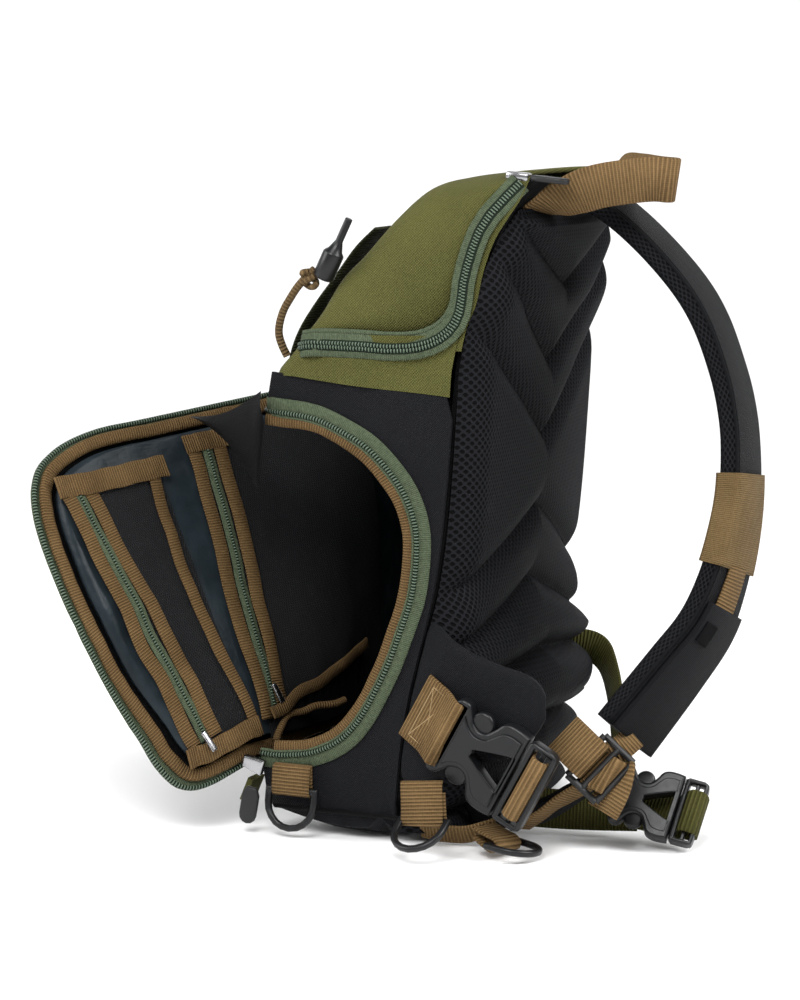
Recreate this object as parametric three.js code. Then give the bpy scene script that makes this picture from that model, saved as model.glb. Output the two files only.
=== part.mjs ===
// Fishing tackle sling bag: a leaning two-compartment bag with its front panel half unzipped.
// Millimetres. -X is the bag's front, +X the side worn against the back, -Y the near side, +Z up.
// Built with its base centre near the origin, then shifted so that the box stands centred on the origin.
import * as THREE from 'three';

// Driving sizes of the bag
const BAG_HEIGHT = 405;
const BAG_DEPTH = 120;
const HALF_WIDTH = 112;
const BACK_TAPER = 0.14;
const TAPER_RUN = 62;
const BASE_ROUND = 15;
const TOE_LIFT = 9;
const CLOTH = 3;
const GAP = 0.35;

// Driving sizes of the opening and the front panel that closes it
const OPENING_BOTTOM = 38;
const OPENING_HEIGHT = 225;
const OPENING_REACH = 109;
const TAPE_WIDTH = 9;
const TAPE_THICK = 1.8;
const BINDING_WIDTH = 6.5;
const BINDING_THICK = 3;
const DOOR_THICK = 4;
const DOOR_FLAP = 89;
const DOOR_SWING = THREE.MathUtils.degToRad(38);
const DOOR_BEND = 90;
const DOOR_DROOP = 20;

// Driving sizes of the top pocket
const TOP_SEAM_FRONT = 279;
const TOP_SEAM_DROP = 13;
const TOP_TAPE_WIDTH = 15;
const LID_THICK = 3;

// Driving sizes of the pad, wings and straps
const BACK_BULGE = 9;
const PAD_THICK = 19;
const PAD_INSET = 4.5;
const WING_TIP = 122;
const WING_THICK = 7;
const STRAP_WIDTH = 52;
const STRAP_THICK = 12;
const STRAP_REACH = 117;
const HANDLE_WIDTH = 26;
const HANDLE_REACH = 75;
const HANDLE_SPREAD = 92;
const WEB_THICK = 1.8;
const BUCKLE_WEB = 38;
const FAR_WEB = 25;
const LINK_WEB = 24;

// Driving sizes of the hard parts
const TAB_WIDTH = 25;
const TAB_LENGTH = 11;
const RING_BAR = 4;
const RING_REACH = 25;
const RING_CLEAR = 0.75;
const BUCKLE_LENGTH = 50;
const BUCKLE_WIDTH = 48;
const BUCKLE_THICK = 11;
const MALE_LENGTH = 19;
const SMALL_BUCKLE = 0.76;
const PULL_LENGTH = 27;
const PULL_WIDTH = 13;
const PULL_THICK = 4;
const SLIDER_LENGTH = 14;
const SLIDER_WIDTH = 10;
const SLIDER_THICK = 5;
const CORD_WIDTH = 5;
const TOGGLE_RADIUS = 6.5;
const TOGGLE_LENGTH = 19;

const V = (x, y, z) => new THREE.Vector3(x, y, z);
const bag = new THREE.Group();

const finish = (color, roughness = 0.85, metalness = 0) =>
  new THREE.MeshStandardMaterial({ color, roughness, metalness });
const OLIVE_CLOTH = finish(0x4c5326);
const BLACK_CLOTH = finish(0x15161a);
const AIR_MESH = finish(0x101114, 0.95);
const LINING = finish(0x1d2730, 0.45);
const ZIP_TAPE = finish(0x4d6149, 0.8);
const COYOTE = finish(0x7d6036, 0.8);
const NETTING = finish(0x0c0d0e, 0.9);
const PLASTIC = finish(0x121214, 0.45);
const RUBBER = finish(0x0e0e10, 0.6);
const STEEL = finish(0xb9babd, 0.3, 1);
const OLIVE_WEB = finish(0x3f4522);

// Adds a closed solid to the bag as one named mesh.
function piece(name, geometry, material, parent = bag) {
  const mesh = new THREE.Mesh(geometry, material);
  mesh.name = name;
  parent.add(mesh);
  return mesh;
}

// Reads a column of a table at a place along its first column, on a smooth curve through the rows.
function read(table, column, at) {
  const last = table.length - 1;
  if (at <= table[0][0]) return table[0][column];
  if (at >= table[last][0]) return table[last][column];
  const i = table.findIndex((row, k) => k < last && at < table[k + 1][0]);
  const slope = (k) => {
    const a = table[Math.max(k - 1, 0)];
    const b = table[Math.min(k + 1, last)];
    return (b[column] - a[column]) / (b[0] - a[0]);
  };
  const step = table[i + 1][0] - table[i][0];
  const t = (at - table[i][0]) / step;
  const h = t * t * (3 - 2 * t);
  const rise = t * (1 - t) * (1 - t) * slope(i) - t * t * (1 - t) * slope(i + 1);
  return table[i][column] * (1 - h) + table[i + 1][column] * h + step * rise;
}

const clamp01 = (t) => Math.min(1, Math.max(0, t));
const ease = (t) => clamp01(t) * clamp01(t) * (3 - 2 * clamp01(t));
const mix = (a, b, t) => a + (b - a) * t;
const range = (count) => Array.from({ length: count }, (_, i) => i / (count - 1));

// A closed solid through rings of points. Ring point i lies opposite point n-1-i, which closes the ends.
function loft(rings, closed = false) {
  const n = rings[0].length;
  const positions = rings.flat().flatMap((p) => [p.x, p.y, p.z]);
  const faces = [];
  const quad = (a, b, c, d) => faces.push(a, b, c, a, c, d);
  const spans = closed ? rings.length : rings.length - 1;
  for (let j = 0; j < spans; j++) {
    const here = j * n;
    const next = ((j + 1) % rings.length) * n;
    for (let k = 0; k < n; k++) {
      const l = (k + 1) % n;
      quad(here + k, here + l, next + l, next + k);
    }
  }
  if (!closed) {
    const end = (rings.length - 1) * n;
    for (let k = 0; k < n / 2 - 1; k++) {
      quad(k, n - 1 - k, n - 2 - k, k + 1);
      quad(end + k, end + k + 1, end + n - 2 - k, end + n - 1 - k);
    }
  }
  const p = positions;
  let volume = 0;
  for (let f = 0; f < faces.length; f += 3) {
    const [a, b, c] = [faces[f] * 3, faces[f + 1] * 3, faces[f + 2] * 3];
    volume +=
      p[a] * (p[b + 1] * p[c + 2] - p[b + 2] * p[c + 1]) +
      p[a + 1] * (p[b + 2] * p[c] - p[b] * p[c + 2]) +
      p[a + 2] * (p[b] * p[c + 1] - p[b + 1] * p[c]);
  }
  if (volume < 0) {
    for (let f = 0; f < faces.length; f += 3) [faces[f + 1], faces[f + 2]] = [faces[f + 2], faces[f + 1]];
  }
  const geometry = new THREE.BufferGeometry();
  geometry.setAttribute('position', new THREE.Float32BufferAttribute(positions, 3));
  geometry.setIndex(faces);
  geometry.computeVertexNormals();
  return geometry;
}

// The mean normal at each point of a grid of points.
function gridNormals(grid) {
  return grid.map((row, j) =>
    row.map((p, i) => {
      const sum = V(0, 0, 0);
      for (const [dj, di] of [[-1, -1], [-1, 0], [0, -1], [0, 0]]) {
        const [a, b] = [j + dj, i + di];
        if (a < 0 || b < 0 || a > grid.length - 2 || b > row.length - 2) continue;
        const e = grid[a + 1][b + 1].clone().sub(grid[a][b]);
        const f = grid[a + 1][b].clone().sub(grid[a][b + 1]);
        sum.add(e.cross(f));
      }
      return sum.normalize();
    }),
  );
}

// A sheet of cloth: the grid is one face, and the other lies a thickness away on the side of the point within.
function sheet(grid, thick, within) {
  const normals = gridNormals(grid);
  const [j, i] = [grid.length >> 1, grid[0].length >> 1];
  const side = within.clone().sub(grid[j][i]).dot(normals[j][i]) < 0 ? -1 : 1;
  const depth = typeof thick === 'function' ? thick : () => thick;
  return loft(
    grid.map((row, b) => {
      const inner = row.map((p, a) => {
        const t = depth(a / (row.length - 1), b / (grid.length - 1)) * side;
        return p.clone().addScaledVector(normals[b][a], t);
      });
      return [...row, ...inner.reverse()];
    }),
  );
}

// A flat band along stations, each with a point, the direction across the band and the direction out of it.
function band(stations, width, thick, closed = false) {
  return loft(
    stations.map(({ at, across, out, wide }) => {
      const half = (wide || (typeof width === 'function' ? width(at) : width)) / 2;
      const corner = (s, t) => at.clone().addScaledVector(across, s * half).addScaledVector(out, t * thick);
      return [corner(-1, 0), corner(1, 0), corner(1, 1), corner(-1, 1)];
    }),
    closed,
  );
}

// Stations on a smooth curve, with the given directions across made square to it.
function stationsAlong(points, acrossList, count, lift = 0) {
  const curve = new THREE.CatmullRomCurve3(points);
  return range(count).map((t) => {
    const s = t * (acrossList.length - 1);
    const k = Math.min(Math.floor(s), acrossList.length - 2);
    const across = acrossList[k].clone().lerp(acrossList[k + 1], s - k);
    const along = curve.getTangent(t);
    across.addScaledVector(along, -across.dot(along)).normalize();
    const out = new THREE.Vector3().crossVectors(along, across).normalize();
    return { at: curve.getPoint(t).addScaledVector(out, lift), across, out };
  });
}

// Outline of the bag by height: columns are height, front and back as shares of the depth, half width.
const PROFILE = [
  [0.0, -0.483, 0.183, 1.0],
  [0.054, -0.517, 0.2, 1.0],
  [0.114, -0.542, 0.217, 1.0],
  [0.212, -0.538, 0.267, 1.0],
  [0.328, -0.533, 0.333, 1.0],
  [0.43, -0.525, 0.392, 1.0],
  [0.521, -0.517, 0.425, 1.0],
  [0.662, -0.5, 0.458, 0.978],
  [0.691, -0.479, 0.463, 0.973],
  [0.716, -0.433, 0.475, 0.963],
  [0.76, -0.41, 0.505, 0.946],
  [0.795, -0.4, 0.546, 0.92],
  [0.842, -0.39, 0.575, 0.893],
  [0.886, -0.38, 0.62, 0.857],
  [0.919, -0.37, 0.68, 0.82],
  [0.948, -0.36, 0.735, 0.778],
  [1.0, -0.35, 0.775, 0.66],
];
const frontX = (z) => read(PROFILE, 1, z / BAG_HEIGHT) * BAG_DEPTH;
const backX = (z) => read(PROFILE, 2, z / BAG_HEIGHT) * BAG_DEPTH;
const fullHalf = (z) => read(PROFILE, 3, z / BAG_HEIGHT) * HALF_WIDTH;

// Half the bag's width at a point of its side, drawn in towards the back.
const taperAt = (z) => BACK_TAPER * mix(0.12, 1, ease((z / BAG_HEIGHT - 0.18) / 0.2));
const sideHalf = (x, z) => fullHalf(z) * (1 - taperAt(z) * ease((x - backX(z)) / TAPER_RUN + 1));

const baseLift = (x) => TOE_LIFT * clamp01((FLAT_FRONT - x) / (FLAT_FRONT - frontX(0))) ** 1.6;
const FLAT_FRONT = -BAG_DEPTH * 0.1;

// A point of the near side cloth, by its place along X and its girth, the way up round the rounded base edge.
function nearSide(x, girth) {
  const quarter = (BASE_ROUND * Math.PI) / 2;
  const angle = Math.min(girth, quarter) / BASE_ROUND;
  const z = BASE_ROUND * (1 - Math.cos(angle)) + Math.max(0, girth - quarter);
  const inset = BASE_ROUND * (1 - Math.sin(angle));
  const rise = baseLift(x) * clamp01(1 - z / (4 * BASE_ROUND));
  return V(x, -(sideHalf(x, z) - inset), z + rise);
}
const girthOf = (z) => z + BASE_ROUND * (Math.PI / 2 - 1);
const mirrored = (p) => V(p.x, -p.y, p.z);
const middle = V(-0.05 * BAG_DEPTH, 0, BAG_HEIGHT * 0.4);

// The D-shaped edge of the opening on the side: rise and reach as shares, from the top front round to the base.
const OPENING_EDGE = [
  [1.0, 0.0],
  [0.991, 0.248],
  [0.969, 0.417],
  [0.916, 0.63],
  [0.836, 0.787],
  [0.747, 0.894],
  [0.64, 0.944],
  [0.498, 0.925],
  [0.378, 0.867],
  [0.267, 0.8],
  [0.147, 0.68],
  [0.067, 0.538],
  [0.018, 0.349],
  [0.0, 0.138],
  [0.0, 0.0],
];
const EDGE_STEPS = 27;
const edgeCurve = new THREE.SplineCurve(
  OPENING_EDGE.map(([rise, reach]) =>
    new THREE.Vector2(
      mix(frontX(OPENING_BOTTOM), frontX(OPENING_BOTTOM + OPENING_HEIGHT), rise) + reach * OPENING_REACH,
      OPENING_BOTTOM + rise * OPENING_HEIGHT,
    ),
  ),
);

// A point set in from the opening's edge, still on the side cloth.
function edgePoint(t, inset) {
  const p = edgeCurve.getPoint(t);
  const d = edgeCurve.getTangent(t);
  const x = p.x + d.y * inset;
  const z = p.y - d.x * inset;
  return V(x, -sideHalf(x, z), z);
}

// The crescent of black cloth between the opening and the seams, from the top seam round to the base.
const topSeam = (x) => TOP_SEAM_FRONT - TOP_SEAM_DROP * clamp01((x - frontX(TOP_SEAM_FRONT)) / BAG_DEPTH);
function sidePanel(mirror) {
  const seam = new THREE.CurvePath();
  const corner = (x, z) => new THREE.Vector2(x, girthOf(z));
  const topBack = backX(TOP_SEAM_FRONT - TOP_SEAM_DROP);
  const topFront = frontX(TOP_SEAM_FRONT);
  const back = [0.95, 0.8, 0.65, 0.5, 0.35, 0.2, 0.08].map((s) => {
    const z = s * (TOP_SEAM_FRONT - TOP_SEAM_DROP);
    return corner(backX(z) - GAP, z);
  });
  const baseBack = new THREE.Vector2(backX(0) - GAP, 0);
  const baseFront = new THREE.Vector2(frontX(0), 0);
  const outline = [
    corner(topFront, topSeam(topFront) - GAP),
    corner(topBack * 0.4, topSeam(topBack * 0.4) - GAP),
    corner(topBack - GAP, topSeam(topBack) - GAP),
    ...back,
    baseBack,
    new THREE.Vector2(0, 0),
    baseFront,
  ];
  outline.slice(1).forEach((p, i) => seam.add(new THREE.LineCurve(outline[i], p)));
  const grid = range(EDGE_STEPS).map((t) => {
    const inner = edgePoint(t, -GAP);
    const outer = seam.getPoint(t);
    return range(5).map((u) => {
      const x = mix(inner.x, outer.x, u);
      const p = nearSide(x, mix(girthOf(inner.z), outer.y, u));
      return mirror ? mirrored(p) : p;
    });
  });
  return sheet(grid, CLOTH, middle);
}
piece('side_panel_near', sidePanel(false), BLACK_CLOTH);
piece('side_panel_far', sidePanel(true), BLACK_CLOTH);

// Half the room between the side panels at a height, less the gap.
function roomHalf(x, z) {
  const r = BASE_ROUND;
  const inner = r - CLOTH;
  const h = clamp01((r - z) / inner) * inner;
  return sideHalf(x, z) - r + Math.sqrt(Math.max(0, inner * inner - h * h)) - GAP;
}

// Base and front sill in one sheet: profile rows are X as a share of the front or back, and height.
const sillTop = OPENING_BOTTOM - GAP - 1;
const baseProfile = [
  [frontX(sillTop), sillTop],
  [frontX(BASE_ROUND * 1.6), BASE_ROUND * 1.6],
  [frontX(BASE_ROUND) + 1, BASE_ROUND],
  [frontX(0) + BASE_ROUND * 0.45, TOE_LIFT * 0.95],
  [FLAT_FRONT * 2.6, baseLift(FLAT_FRONT * 2.6)],
  [FLAT_FRONT, 0],
  [(FLAT_FRONT + backX(0)) / 2, 0],
  [backX(0) - CLOTH - GAP * 3, 0],
];
piece(
  'bottom_panel',
  sheet(
    baseProfile.map(([x, z]) => range(7).map((u) => V(x, mix(-1, 1, u) * (roomHalf(x, z - baseLift(x)) - 3.8), z))),
    CLOTH,
    middle,
  ),
  BLACK_CLOTH,
);

// Back panel: the flat black cloth that carries the pad, from the base to the top hem.
const backBulge = (s) => BACK_BULGE * (1 - s * s);
const backRows = range(16).map((t) => mix(GAP, BAG_HEIGHT - 12, t));
const backHalf = (z) => (roomHalf(backX(z), Math.max(z, BASE_ROUND)) - 1.2) * (z < 12 ? 0.86 : 1);
piece(
  'back_panel',
  sheet(
    backRows.map((z) =>
      range(7).map((u) => V(backX(z) + backBulge(mix(-1, 1, u)), mix(-1, 1, u) * backHalf(z), z)),
    ),
    CLOTH,
    middle,
  ),
  BLACK_CLOTH,
);

// Compartment roof with the short header that hangs down to the zip.
const roofZ = topSeam(backX(TOP_SEAM_FRONT)) - 3;
const headerBottom = OPENING_BOTTOM + OPENING_HEIGHT + GAP;
const headerRows = [
  [frontX(headerBottom) - 0.5, headerBottom],
  [frontX(TOP_SEAM_FRONT - 4) - 0.5, TOP_SEAM_FRONT - 4],
  [frontX(TOP_SEAM_FRONT) + 8, TOP_SEAM_FRONT - 3.5],
  [-0.1 * BAG_DEPTH, mix(TOP_SEAM_FRONT - 4, roofZ, 0.5)],
  [backX(roofZ) - CLOTH - GAP * 4, roofZ],
];
piece(
  'compartment_roof',
  sheet(
    headerRows.map(([x, z]) => range(7).map((u) => V(x, mix(-1, 1, u) * (sideHalf(x, z) - CLOTH - 0.8), z))),
    CLOTH - 1,
    V(0, 0, OPENING_BOTTOM),
  ),
  BLACK_CLOTH,
);

// Zip tape round the near opening, then across the header to the far side.
const frontOf = (z) => frontX(z) - 0.8;
function tapeStations(insetMid, mirror, turnCorner) {
  const down = range(EDGE_STEPS).map((t) => {
    const a = edgePoint(t, insetMid - 1);
    const b = edgePoint(t, insetMid + 1);
    return { at: edgePoint(t, insetMid), across: b.sub(a).normalize(), out: V(0, -1, 0) };
  });
  if (!turnCorner) return down.map((s) => flipStation(s, mirror));
  const top = OPENING_BOTTOM + OPENING_HEIGHT - insetMid;
  const x = frontOf(top) - GAP;
  const half = sideHalf(x, top);
  const across = V(0, 0, -1);
  const turn = [
    { at: V(x + 1.5, -half - 1, top), across, out: V(-0.5, -0.86, 0) },
    { at: V(x - 1.2, -half + 4, top), across, out: V(-0.94, -0.34, 0) },
  ];
  const run = range(7).map((t) => ({ at: V(x - 1.2, mix(-half + 12, half - 4, t), top), across, out: V(-1, 0, 0) }));
  return [...run.reverse(), ...turn.reverse(), ...down];
}
const flipStation = ({ at, across, out }, mirror) =>
  mirror ? { at: mirrored(at), across: mirrored(across), out: mirrored(out) } : { at, across, out };
const sunk = (stations, depth) => stations.map((s) => ({ ...s, at: s.at.clone().addScaledVector(s.out, -depth) }));

piece('opening_zip_tape', band(tapeStations(TAPE_WIDTH / 2, false, true), TAPE_WIDTH, TAPE_THICK), ZIP_TAPE);
piece(
  'opening_binding',
  band(sunk(tapeStations(TAPE_WIDTH + GAP + BINDING_WIDTH / 2, false, false), 1), BINDING_WIDTH, BINDING_THICK),
  COYOTE,
);

// Far side: the same zip, closed, with the side flap of the front panel inside it.
piece(
  'far_zip_tape',
  band(sunk(tapeStations(TAPE_WIDTH, true, false), 0), TAPE_WIDTH * 1.4, TAPE_THICK + 0.6),
  ZIP_TAPE,
);
const flapEdge = TAPE_WIDTH * 1.7 + GAP;
piece(
  'door_side_far',
  sheet(
    range(EDGE_STEPS).map((t) => {
      const edge = edgePoint(t, flapEdge);
      const z = mix(OPENING_BOTTOM + OPENING_HEIGHT - flapEdge, OPENING_BOTTOM + flapEdge, t);
      return range(4).map((u) => {
        const x = mix(edge.x, frontX(z) + 1, u);
        const h = mix(edge.z, z, u);
        return V(x, sideHalf(x, h), h);
      });
    }),
    CLOTH,
    middle,
  ),
  BLACK_CLOTH,
);

// Front panel, cut flat and then bent about the diagonal from its far top corner to the slider.
// Flat places are w from the far edge and h from the lower edge.
const DOOR_WIDTH = 2 * HALF_WIDTH;
const doorDiagonal = new THREE.Vector2(DOOR_WIDTH, -OPENING_HEIGHT).normalize();
const doorSquare = new THREE.Vector2(OPENING_HEIGHT, DOOR_WIDTH).normalize();
const DOOR_FRONT = frontX(OPENING_BOTTOM) - 2.5;
function doorPoint(w, h, off = 0) {
  const q = new THREE.Vector2(w, h - OPENING_HEIGHT);
  const s = q.dot(doorDiagonal);
  const t = q.dot(doorSquare);
  const radius = DOOR_BEND / DOOR_SWING;
  const angle = clamp01((t + DOOR_BEND / 2) / DOOR_BEND) * DOOR_SWING;
  const past = Math.max(0, t - DOOR_BEND / 2);
  const start = Math.min(t, -DOOR_BEND / 2);
  const across = start + radius * Math.sin(angle) + past * Math.cos(angle) + off * Math.sin(angle);
  const out = radius * (1 - Math.cos(angle)) + past * Math.sin(angle) - off * Math.cos(angle);
  const bend = new THREE.Vector2().addScaledVector(doorDiagonal, s).addScaledVector(doorSquare, across);
  const loose = clamp01((w - DOOR_WIDTH) / (DOOR_FLAP * 0.67)) * clamp01(1 - h / (OPENING_HEIGHT * 0.49));
  const droop = DOOR_DROOP * loose;
  return V(
    DOOR_FRONT - out - 0.8 * droop,
    HALF_WIDTH - bend.x,
    OPENING_BOTTOM + OPENING_HEIGHT + bend.y - droop,
  );
}

// The free edge of the front panel: height share and how far the side flap reaches past the corner line.
const FLAP_EDGE = [
  [0.0, 0.3],
  [0.03, 0.47],
  [0.1, 0.58],
  [0.19, 0.66],
  [0.3, 0.79],
  [0.4, 0.89],
  [0.5, 0.97],
  [0.64, 1.0],
  [0.75, 1.0],
  [0.83, 0.97],
  [0.89, 0.91],
  [0.94, 0.8],
  [0.98, 0.58],
  [1.0, 0.28],
];
const flapReach = (h) => DOOR_WIDTH + DOOR_FLAP * read(FLAP_EDGE, 1, h / OPENING_HEIGHT);
const doorInset = TAPE_WIDTH + BINDING_WIDTH + 1.6;
const DOOR_FAR = 5;

function doorSheet(rows, columns, thick, off, wFrom, wTo, hFrom, hTo) {
  const grid = range(rows).map((t) => {
    const h = mix(hFrom, hTo, t);
    return range(columns).map((u) => doorPoint(mix(wFrom(h), wTo(h), u), h, off));
  });
  const back = range(rows).map((t) => {
    const h = mix(hFrom, hTo, t);
    return range(columns).map((u) => doorPoint(mix(wFrom(h), wTo(h), u), h, off - thick));
  });
  return loft(grid.map((row, j) => [...row, ...back[j].reverse()]));
}

// The path of the free edge in the flat, from the far top corner round to the slider and on to the far side.
const doorEdgeFlat = [
  ...range(9).map((t) => new THREE.Vector2(mix(DOOR_FAR, DOOR_WIDTH - 6, t), OPENING_HEIGHT)),
  ...[...FLAP_EDGE].reverse().map(([h, r]) => new THREE.Vector2(DOOR_WIDTH + DOOR_FLAP * r, h * OPENING_HEIGHT)),
  ...range(7).map((t) => new THREE.Vector2(mix(DOOR_WIDTH - 2, DOOR_FAR, t), 0)),
];
const doorEdge = new THREE.SplineCurve(doorEdgeFlat);
function doorStations(inset, off) {
  return range(52).map((t) => {
    const p = doorEdge.getPoint(t);
    const d = doorEdge.getTangent(t);
    const place = (i, o) => doorPoint(p.x + d.y * i, p.y - d.x * i, o);
    const at = place(inset, off);
    return {
      at,
      across: place(inset + 1, off).sub(at).normalize(),
      out: place(inset, off - 1).sub(at).normalize(),
    };
  });
}
piece('door_zip_tape', band(doorStations(TAPE_WIDTH / 2, 0), TAPE_WIDTH - 0.4, TAPE_THICK), ZIP_TAPE);
piece(
  'door_binding',
  band(doorStations(TAPE_WIDTH + GAP + BINDING_WIDTH / 2, 1), BINDING_WIDTH - 0.4, BINDING_THICK + 1.5),
  COYOTE,
);

// The panel itself fills the binding, as rows from the hinge line to the inset edge.
function doorCloth(rows, thick, off) {
  const face = (depth) => rows.map((row) => row.map((p) => doorPoint(p.x, p.y, depth)));
  const back = face(off - thick);
  return loft(face(off).map((row, j) => [...row, ...back[j].reverse()]));
}
const panelEdge = TAPE_WIDTH + BINDING_WIDTH + 2 * GAP;
const panelRows = range(34).map((t) => {
  const edge = doorEdge.getPoint(t);
  const d = doorEdge.getTangent(t);
  const end = new THREE.Vector2(edge.x + d.y * panelEdge, edge.y - d.x * panelEdge);
  const hinge = new THREE.Vector2(DOOR_FAR, mix(OPENING_HEIGHT - panelEdge, panelEdge, t));
  end.x = Math.max(end.x, DOOR_FAR + 1.5);
  return range(9).map((u) => hinge.clone().lerp(end, u));
});
piece('door_panel', doorCloth(panelRows, DOOR_THICK, 0), LINING);

// Mesh pockets inside the front panel: columns are name, far and near edge low and high, bottom and top.
const POCKETS = [
  { name: 'door_pocket_1', far: [217, 221], near: [251, 291], low: 18, high: 196 },
  { name: 'door_pocket_2', far: [112, 112], near: [206, 196], low: 18, high: 202 },
];
const POCKET_OFF = 3.2;
const POCKET_THICK = 2.2;
for (const { name, far, near, low, high } of POCKETS) {
  const scaleW = DOOR_WIDTH / 224;
  const scaleH = OPENING_HEIGHT / 226;
  const side = (ends) => (h) => mix(ends[0], ends[1], (h / scaleH - low) / (high - low)) * scaleW;
  const shape = doorSheet(8, 6, POCKET_THICK, POCKET_OFF, side(far), side(near), low * scaleH, high * scaleH);
  piece(name, shape, NETTING);
}

// Low pocket across the foot of the front panel's inside, with its hemmed top.
const pocketHem = (w) => mix(0.22, 0.12, (w / DOOR_WIDTH - 0.42) / 0.5) * OPENING_HEIGHT;
piece(
  'inner_pocket',
  doorCloth(
    range(4).map((t) =>
      range(9).map((u) => {
        const w = mix(0.42, 0.9, u) * DOOR_WIDTH;
        return new THREE.Vector2(w, mix(panelEdge + 1, pocketHem(w), t));
      }),
    ),
    2.5,
    POCKET_OFF + 3.2,
  ),
  NETTING,
);

// Gusset: cloth that hangs in a V between the top of the front panel and the header.
const gussetTop = OPENING_HEIGHT - panelEdge - 2;
const gussetFold = V(-0.68 * BAG_DEPTH, -0.67 * HALF_WIDTH, OPENING_BOTTOM + 0.72 * OPENING_HEIGHT);
piece(
  'door_gusset',
  sheet(
    range(6).map((t) => {
      const door = doorPoint(mix(DOOR_WIDTH * 0.86, DOOR_WIDTH * 0.3, t), gussetTop, 6);
      const body = V(frontX(headerBottom) + 6, mix(-HALF_WIDTH + 13, HALF_WIDTH * 0.3, t), headerBottom - 2.5);
      const level = door.clone().lerp(body, 0.6);
      const low = gussetFold.clone().add(V(0, (body.y + HALF_WIDTH - 13) * 0.9, 0));
      const fold = level.lerp(low, 1 - t * 0.75);
      return [door, door.clone().lerp(fold, 0.5), fold, fold.clone().lerp(body, 0.5), body];
    }),
    1.5,
    V(frontX(headerBottom), 0, BAG_HEIGHT),
  ),
  BLACK_CLOTH,
);

// Top pocket lid: rows hold where each arch leaves the zip and where it crosses the middle.
// Columns: foot X and height, then crown X and height, as shares of the depth and the height.
const LID_ARCHES = [
  [-0.2, 0.7506, -0.367, 0.743],
  [-0.07, 0.7506, -0.29, 0.782],
  [0.04, 0.75, -0.2, 0.832],
  [0.15, 0.748, -0.1, 0.8667],
  [0.275, 0.7506, 0.05, 0.921],
  [0.375, 0.765, 0.2, 0.9605],
  [0.435, 0.7926, 0.35, 0.973],
  [0.465, 0.847, 0.49, 0.979],
  [0.535, 0.9136, 0.62, 0.983],
  [0.69, 0.974, 0.71, 0.984],
];
const LID_SQUARE = 0.42;
const LID_ACROSS = 15;
function lidPoint([footX, footZ, crownX, crownZ], a) {
  const angle = (Math.abs(a) * Math.PI) / 2;
  const k = Math.cos(angle) ** LID_SQUARE;
  const x = mix(footX, crownX, k) * BAG_DEPTH;
  const z = mix(footZ, crownZ, k) * BAG_HEIGHT;
  const half = sideHalf(footX * BAG_DEPTH, footZ * BAG_HEIGHT) - 0.5;
  return V(x, Math.sign(a) * half * Math.sin(angle) ** LID_SQUARE, z);
}
const archSteps = range(LID_ACROSS).map((u) => mix(-1, 1, u));
const lidGrid = LID_ARCHES.map((row) => archSteps.map((a) => lidPoint(row, a)));
piece('top_lid', sheet(lidGrid, LID_THICK, V(0.2 * BAG_DEPTH, 0, 0.76 * BAG_HEIGHT)), OLIVE_CLOTH);

// The zip's line is the lid's own edge: up the far side is the mirror of the near side.
const nearEdge = lidGrid.map((row) => row[0]).reverse();
const farEdge = lidGrid.map((row) => row[row.length - 1]);
const lidEdge = [...nearEdge, ...lidGrid[0].slice(1, -1), ...farEdge];
const lidMiddle = V(0.1 * BAG_DEPTH, 0, BAG_HEIGHT * 0.86);
const tapeWide = (z) => {
  const arm = mix(TOP_TAPE_WIDTH, TOP_TAPE_WIDTH * 0.5, ease((z / BAG_HEIGHT - 0.76) / 0.06));
  return mix(arm, TOP_TAPE_WIDTH * 0.3, ease((z / BAG_HEIGHT - 0.88) / 0.08));
};
const lidStations = lidEdge.map((p, i) => {
  const before = lidEdge[Math.max(i - 1, 0)];
  const after = lidEdge[Math.min(i + 1, lidEdge.length - 1)];
  const along = after.clone().sub(before).normalize();
  const front = clamp01((-0.2 * BAG_DEPTH - p.x) / (0.1 * BAG_DEPTH));
  const rough = V(-front, Math.sign(p.y) * (1 - front * 0.8), 0.1).normalize();
  const across = new THREE.Vector3().crossVectors(along, rough).normalize();
  if (across.dot(lidMiddle.clone().sub(p)) > 0) across.negate();
  const out = new THREE.Vector3().crossVectors(along, across).normalize();
  if (out.dot(rough) < 0) out.negate();
  const wide = tapeWide(p.z);
  return { at: p.clone().addScaledVector(across, wide / 2 + GAP + 0.5), across, out, wide };
});
piece('top_zip_tape', band(sunk(lidStations, -0.6), TOP_TAPE_WIDTH, TAPE_THICK + 0.6), ZIP_TAPE);

// Olive band between the black seam and the zip, round both sides and the front.
const BAND_FEET = [
  [-0.233, 0.0],
  [-0.09, 0.0],
  [0.03, 0.0],
  [0.16, 0.0],
  [0.468, 0.0],
  [0.495, 0.065],
];
const bandFoot = (top, foot, sign) => {
  const x = foot[0] * BAG_DEPTH;
  const z = topSeam(x) + 1 + foot[1] * BAG_HEIGHT;
  const outer = x > 0.48 * BAG_DEPTH ? backX(z) - 1 : x;
  return V(outer, sign * sideHalf(outer, z), z);
};
const bandGrid = lidStations.slice(4, -4).map((station, i, all) => {
  const top = station.at.clone().addScaledVector(station.across, station.wide / 2 + GAP + 1.6);
  const end = Math.min(i, all.length - 1 - i);
  const row = BAND_FEET.length - 1 - end;
  const front = V(top.x - 3.5, top.y, topSeam(top.x) + 1);
  const foot = row >= 0 ? bandFoot(top, BAND_FEET[row], Math.sign(top.y)) : front;
  return [top, top.clone().lerp(foot, 0.5), foot];
});
piece('top_band', sheet(bandGrid, CLOTH, V(0, 0, 0.71 * BAG_HEIGHT)), OLIVE_CLOTH);

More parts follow.
